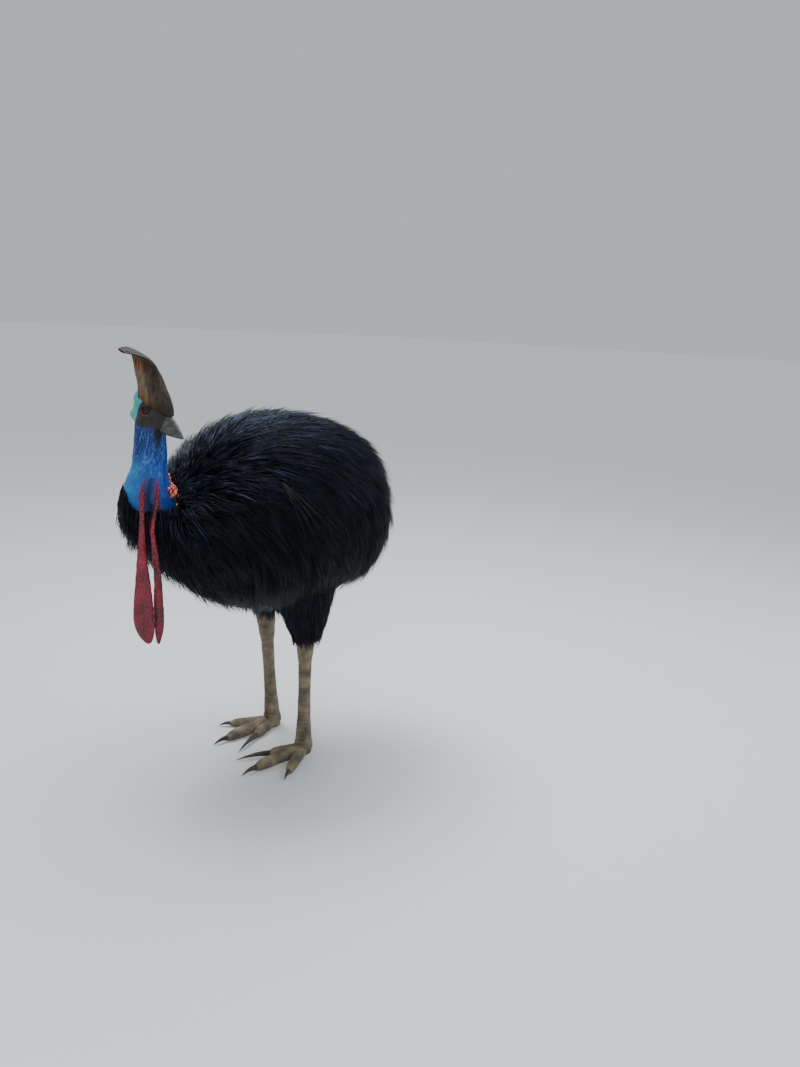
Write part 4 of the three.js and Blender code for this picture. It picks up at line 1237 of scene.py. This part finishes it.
def coat_lie(points):
    """Level on the back, steeper towards the rump and the belly, and outward beside the foot of the neck."""
    x, y, z = points.T
    behind_front = y - LIE["front"]
    rearward = np.clip(behind_front / LIE["length"], 0, 1)
    low = np.clip((860 - z) / 300, 0, 1)
    on_flank = np.clip((950 - z) / 150, 0, 1) * np.clip(behind_front / 200, 0, 1)
    drop = LIE["least_drop"] + LIE["rump_drop"] * rearward ** 1.3 + LIE["belly_drop"] * low ** 1.5
    drop += LIE["flank_drop"] * on_flank
    sideways = np.sign(x) * 0.12 * (1 - rearward)
    lie = np.stack((sideways, 0.8 - 0.35 * low, -drop), 1)
    away = points - NECK_FOOT
    close = np.exp(-(np.linalg.norm(away, axis=1) / NEAR_NECK["sway"]) ** 2)[:, None]
    away[:, 2] = 0
    away = unit(away) * 0.9
    away[:, 2] = -0.25 - 0.5 * np.clip((860 - z) / 90, 0, 1)
    return lie * (1 - close) + away * close


def spread_ways(count):
    """Directions spread evenly over the long body."""
    number = np.arange(count)
    height = 1 - (2 * number + 1) / count
    ring = np.sqrt(1 - height ** 2)
    winding = number * math.pi * (3 - math.sqrt(5))
    ways = np.stack((ring * np.cos(winding), ring * np.sin(winding), height), 1)
    return unit(ways * np.array(COAT["spread"]))


def tufts(name, points, outward, width, thick, tone, patch):
    """One mesh of thin closed tufts, three-sided and drawn to a point, each with its own patch on the map."""
    count, stations = points.shape[:2]
    rings = stations - 1
    ahead = unit(np.gradient(points, axis=1))
    side = unit(np.cross(ahead, outward))
    over = np.cross(side, ahead)
    spine = points[:, :rings]
    half = (width[:, None] * TUFT_WIDTHS[None, :rings] / 2)[..., None]
    high = (thick[:, None] * TUFT_WIDTHS[None, :rings])[..., None]
    ring = np.stack((
        spine + over[:, :rings] * high,
        spine + side[:, :rings] * half,
        spine - side[:, :rings] * half,
    ), 2)
    corners = np.concatenate((ring.reshape(count, rings * 3, 3), points[:, -1:]), 1)
    per_tuft = rings * 3 + 1
    loops, sizes, spots = [], [], []
    for k in range(rings - 1):
        for j in range(3):
            n = (j + 1) % 3
            loops += [k * 3 + j, k * 3 + n, (k + 1) * 3 + n, (k + 1) * 3 + j]
            spots += [(k, j), (k, j + 1), (k + 1, j + 1), (k + 1, j)]
            sizes.append(4)
    for j in range(3):
        loops += [(rings - 1) * 3 + j, (rings - 1) * 3 + (j + 1) % 3, rings * 3]
        spots += [(rings - 1, j), (rings - 1, j + 1), (rings, j + 0.5)]
        sizes.append(3)
    loops += [0, 2, 1]
    spots += [(0, 0), (0, 2), (0, 1)]
    sizes.append(3)
    mesh = bpy.data.meshes.new(name)
    mesh.vertices.add(count * per_tuft)
    mesh.vertices.foreach_set("co", (corners / 1000 + np.array(STANCE)).ravel())
    mesh.loops.add(count * len(loops))
    every = (np.array(loops)[None] + np.arange(count)[:, None] * per_tuft).ravel()
    mesh.loops.foreach_set("vertex_index", every.astype(np.int32))
    mesh.polygons.add(count * len(sizes))
    starts = np.concatenate(([0], np.cumsum(sizes)[:-1]))
    starts = (starts[None] + np.arange(count)[:, None] * len(loops)).ravel()
    mesh.polygons.foreach_set("loop_start", starts.astype(np.int32))
    layer = mesh.uv_layers.new(name="OFBake")
    inside = (np.array(spots, float) / (rings, 3) - 0.5) * PATCH
    layer.uv.foreach_set("vector", (patch[:, None] + inside[None]).ravel().astype(np.float32))
    tones = mesh.attributes.new("tone", "FLOAT", "POINT")
    tones.data.foreach_set("value", np.repeat(tone, per_tuft).astype(np.float32))
    mesh.update(calc_edges=True)
    mesh.shade_smooth()
    piece = bpy.data.objects.new(name, mesh)
    bpy.context.scene.collection.objects.link(piece)
    return piece


plumage = Finish("plumage", 0.42, Specular_IOR_Level=0.25, Specular_Tint=(0.72, 0.84, 1, 1))
# The tone's upper, bluer end is reached mostly through the painted sheen and the painted glints on the coat.
plumage.colour(plumage.ramp(
    plumage.attribute("tone"), (0.0, "010102"), (0.35, "040508"), (0.6, "0a0d16"), (0.8, "1a233c"),
    (1.0, "445275"),
))
plumage.rough(plumage.attribute("tone"), 0.5, 0.34)

# Each clump's own path draws the tips of its tufts together.
clump_ways = spread_ways(COAT["clumps"])
clump_ways = unit(clump_ways + chance.normal(0, COAT["clump_scatter"], clump_ways.shape))
spared = chance.random(len(clump_ways)) < COAT["underside"]
clump_ways = clump_ways[(clump_ways[:, 2] > -0.5) | spared]
count = len(clump_ways) * COAT["per_clump"]
owner = np.repeat(np.arange(len(clump_ways)), COAT["per_clump"])
ways = unit(clump_ways[owner] + chance.normal(0, COAT["tuft_scatter"], (count, 3)))
clump_turn = chance.normal(0, 8, len(clump_ways))
clump_length = chance.uniform(0.8, 1.2, len(clump_ways))
clump_tip = chance.uniform(0.93, 1.02, len(clump_ways))
from_neck = np.linalg.norm(coat_point(ways, 1) - NECK_FOOT, axis=1)
shorter = step_between(from_neck, NEAR_NECK["short_from"], NEAR_NECK["full_from"])
shorter = NEAR_NECK["shortest"] + (1 - NEAR_NECK["shortest"]) * shorter
length = COAT["length"] * clump_length[owner] * chance.uniform(0.75, 1.1, count) * shorter
turns = clump_turn[owner] + chance.normal(0, 5, count)
low_rear = step_between(ways[:, 1], 0.3, 0.75) * step_between(-ways[:, 2], -0.15, 0.3)
tip_share = clump_tip[owner] + chance.uniform(-0.05, 0.015, count) + LOW_REAR_SWELL * low_rear
root_share = SKIN_SHARE + 0.01 + NEAR_NECK["roots_out"] * np.exp(-(from_neck / NEAR_NECK["roots_near"]) ** 2)
points, outward = over_coat(
    ways, length, STEPS, turns, lambda t: root_share + (tip_share - root_share) * t ** 0.5, coat_lie,
)
clump_points, _ = over_coat(
    clump_ways, COAT["length"] * clump_length * shorter[::COAT["per_clump"]], STEPS, clump_turn,
    lambda t: 0.74 + 0.24 * t ** 0.5, coat_lie,
)
shares = np.linspace(0, 1, STEPS + 1)[None, :, None]
pull = clump_points[owner] + (points[:, :1] - clump_points[owner][:, :1]) * 0.2 - points
pull -= outward * (pull * outward).sum(-1, keepdims=True) * 0.8
points += pull * COAT["clumping"] * shares ** 1.2
# The fringe: tips near the underside and the rump hang free.
under = np.clip(0.3 - outward[:, -1, 2], 0, 1)
rump = step_between(points[:, -1, 1], 130, 300) * step_between(-points[:, -1, 2], -880, -700)
clump_droop = chance.uniform(0, 1, len(clump_ways))[owner]
droop = (under * FRINGE["belly"] + rump * FRINGE["rump"]) * (0.7 * clump_droop + 0.4 * chance.random(count))
points[..., 2] -= droop[:, None] * shares[..., 0] ** 2
rear_edge = FRINGE["rearmost"] + FRINGE["ragged"] * chance.random(points.shape[:2])
points[..., 1] = np.minimum(points[..., 1], rear_edge)
points += chance.normal(0, 1.4, points.shape) * shares
# Random tone per clump and per tuft, then painted sheen on the upward-facing tufts, painted shade on the
# downward-facing ones and a few painted glints.
clump_tone = chance.beta(2, 3, len(clump_ways))[owner]
lit = np.clip(outward[:, 2, 2], 0, 1)
shaded = np.clip(0.15 - outward[:, 2, 2], 0, 1)
tone = 0.5 * clump_tone + 0.5 * chance.beta(2, 3, count) + TONE["base"]
tone += TONE["painted_sheen"] * lit ** 2 - TONE["shade"] * shaded
tone = np.clip(tone + TONE["painted_glint"] * (chance.random(count) < TONE["painted_glint_share"]), 0, 1)
width = COAT["width"] * chance.uniform(0.7, 1.3, count)
thick = COAT["thick"] * chance.uniform(0.7, 1.2, count)


def clear_of_flesh(points, gap):
    """Which tufts stand clear of the neck, and clear of the middle of each wattle by a gap in millimetres."""
    height = points[..., 2]
    middle, half_width, _ = neck_at(height)
    in_neck = (np.linalg.norm(points[..., :2] - middle, axis=-1) < half_width * 0.97) & (height > 800)
    clear = ~in_neck[:, 2:].any(1)
    for wattle in WATTLES.values():
        hang = np.array([on_curve(wattle["path"], t) for t in np.linspace(0, 1, 60)])
        middle = np.stack([np.interp(-height, -hang[:, 2], hang[:, k]) for k in (0, 1)], -1)
        in_wattle = (np.linalg.norm(points[..., :2] - middle, axis=-1) < gap) & (height < 860)
        clear &= ~in_wattle.any(1)
    return clear


kept = clear_of_flesh(points, 15)

# The coat is divided as a person would part it. Each part has its own unwrap of the skin's shape.
PARTINGS = {"height": 0.45, "breast": 50, "rump": 130}
SEEN_END_ON = ("coat_breast", "coat_rump")
stretched = unit(ways / np.array(COAT["spread"]))
around = np.degrees(np.arctan2(stretched[:, 0], -stretched[:, 1]))
front = stretched[:, 1] < 0
above = stretched[:, 2] > PARTINGS["height"]
below = stretched[:, 2] < -PARTINGS["height"]
beside = ~above & ~below
on_side = beside & (np.abs(around) >= PARTINGS["breast"]) & (np.abs(around) <= PARTINGS["rump"])
areas = {
    "coat_shoulders": above & front,
    "coat_back": above & ~front,
    "coat_belly_front": below & front,
    "coat_belly_rear": below & ~front,
    "coat_breast": beside & (np.abs(around) < PARTINGS["breast"]),
    "coat_rump": beside & (np.abs(around) > PARTINGS["rump"]),
    "coat_flank_left": on_side & (around > 0),
    "coat_flank_right": on_side & (around < 0),
}
unwrap = np.stack((
    np.arctan2(stretched[:, 2], stretched[:, 0]) / (2 * math.pi) + 0.5,
    np.arccos(-stretched[:, 1]) / math.pi,
), 1)
for name, area in areas.items():
    chosen = np.flatnonzero(area & kept)
    own = stretched[chosen][:, (0, 2)] * 0.5 + 0.5 if name in SEEN_END_ON else unwrap[chosen]
    own = 0.01 + 0.98 * (own - own.min(0)) / np.ptp(own, axis=0)
    part = tufts(name, points[chosen], outward[chosen], width[chosen], thick[chosen], tone[chosen], own)
    part.data.materials.append(plumage.material)
    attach(part, "root")
    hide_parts("torso", "rump")

# The collar: short feathers rooted round the foot of the neck, where the bare skin ends. They lie out and
# down over the breast and the shoulders, lowest between the roots of the wattles.
COLLAR_COAT = {
    "tufts": 6000, "length": (60, 120), "out": (10, 46), "rows": 66, "width": 3.4, "thick": 1.5,
    "root_depth": 4, "slack": 10,
}
COLLAR_EDGE = {  # how high the bare skin ends, at turns round the neck from the throat
    -180: 880, -130: 876, -90: 864, -55: 842, -25: 814, 30: 806, 70: 806, 104: 810, 125: 862, 180: 880,
}
count = COLLAR_COAT["tufts"]
collar_turn = chance.uniform(-180, 180, count)
edge = np.interp(collar_turn, list(COLLAR_EDGE), list(COLLAR_EDGE.values())) + chance.normal(0, 3, count)
root_z = edge - COLLAR_COAT["rows"] * chance.random(count) ** 1.3
root_axis, skin_radius, throat_turn = neck_at(root_z)
swing = np.radians(collar_turn + throat_turn)
out = np.stack((np.cos(swing), np.sin(swing), np.zeros(count)), 1)
roots = np.concatenate((root_axis, root_z[:, None]), 1)
roots += out * (skin_radius - COLLAR_COAT["root_depth"])[:, None]
length = chance.uniform(*COLLAR_COAT["length"], count)
reach_out = chance.uniform(*COLLAR_COAT["out"], count)
tip_share = chance.uniform(0.93, 1.03, count)
points, outward = [], []
for step in range(STEPS + 1):
    t = step / STEPS
    here = roots + out * (reach_out * t ** 0.7)[:, None]
    here[:, 2] -= length * t ** 1.25
    off = here - COAT_CENTRE
    far = np.linalg.norm(off, axis=1)
    limit = coat_reach(off / far[:, None]) * tip_share
    held = far - np.maximum(far - limit - COLLAR_COAT["slack"], 0) * t ** 3
    points.append(COAT_CENTRE + off * (held / far)[:, None])
    outward.append(unit(out + np.array((0, 0, 0.5))))
points = np.array(points).transpose(1, 0, 2)
outward = np.array(outward).transpose(1, 0, 2)
points += chance.normal(0, 1.5, points.shape) * shares
kept = clear_of_flesh(points, 11)
own = np.stack((collar_turn / 360 + 0.5, (root_z - root_z.min()) / np.ptp(root_z)), 1) * 0.98 + 0.01
width = COLLAR_COAT["width"] * chance.uniform(0.7, 1.3, count)
thick = COLLAR_COAT["thick"] * chance.uniform(0.7, 1.2, count)
tone = chance.beta(2, 3.5, count) * 0.9
part = tufts("coat_collar", points[kept], outward[kept], width[kept], thick[kept], tone[kept], own[kept])
part.data.materials.append(plumage.material)
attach(part, "root")

# The thighs' own feathers: shorter and straighter than the rest, rooted all round each thigh. They hang down
# over its lower end in a ragged hem, out of which the bare leg comes.
THIGH_COAT = {"tufts": 4600, "length": 0.42, "rise": (0.24, 0.98), "twist": 0.1}
thigh_stations = np.linspace(0, 1, 60)
thigh_values = [
    [along(THIGH[key], share) for share in thigh_stations] for key in ("half_width", "half_depth", "set_back")
]
for name, side in (("left", 1), ("right", -1)):
    count = THIGH_COAT["tufts"]
    start = chance.uniform(*THIGH_COAT["rise"], count)
    way = chance.uniform(-math.pi, math.pi, count)
    length = THIGH_COAT["length"] * chance.uniform(0.7, 1.15, count)
    tip = chance.uniform(0.86, 1.08, count)
    hang = chance.uniform(-34, 26, count)
    points, outward = [], []
    for step in range(STEPS + 1):
        t = start - length * step / STEPS
        share = SKIN_SHARE + (tip - SKIN_SHARE) * (step / STEPS) ** 0.5
        wide, deep, back = (np.interp(np.clip(t, 0, 1), thigh_stations, values) for values in thigh_values)
        bent = way + THIGH_COAT["twist"] * step / STEPS
        points.append(np.stack((
            side * SHANK_X + wide * np.cos(bent) * share,
            back + deep * np.sin(bent) * share,
            HEM[name] + (THIGH["top"] - HEM[name]) * t,
        ), 1))
        outward.append(np.stack((np.cos(bent), np.sin(bent), np.zeros(count)), 1))
    points = np.array(points).transpose(1, 0, 2)
    outward = np.array(outward).transpose(1, 0, 2)
    points[..., 2] = np.maximum(points[..., 2], HEM[name] - hang[:, None])
    points += chance.normal(0, 1.6, points.shape) * shares
    own = np.stack((way / (2 * math.pi) + 0.5, start), 1) * 0.98 + 0.01
    width = COAT["width"] * chance.uniform(0.7, 1.3, count)
    thick = COAT["thick"] * chance.uniform(0.7, 1.2, count)
    tone = chance.beta(2, 3.5, count)
    part = tufts(f"coat_thigh_{name}", points, outward, width, thick, tone, own)
    part.data.materials.append(plumage.material)
    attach(part, "root")
    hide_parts(f"thigh_{name}")
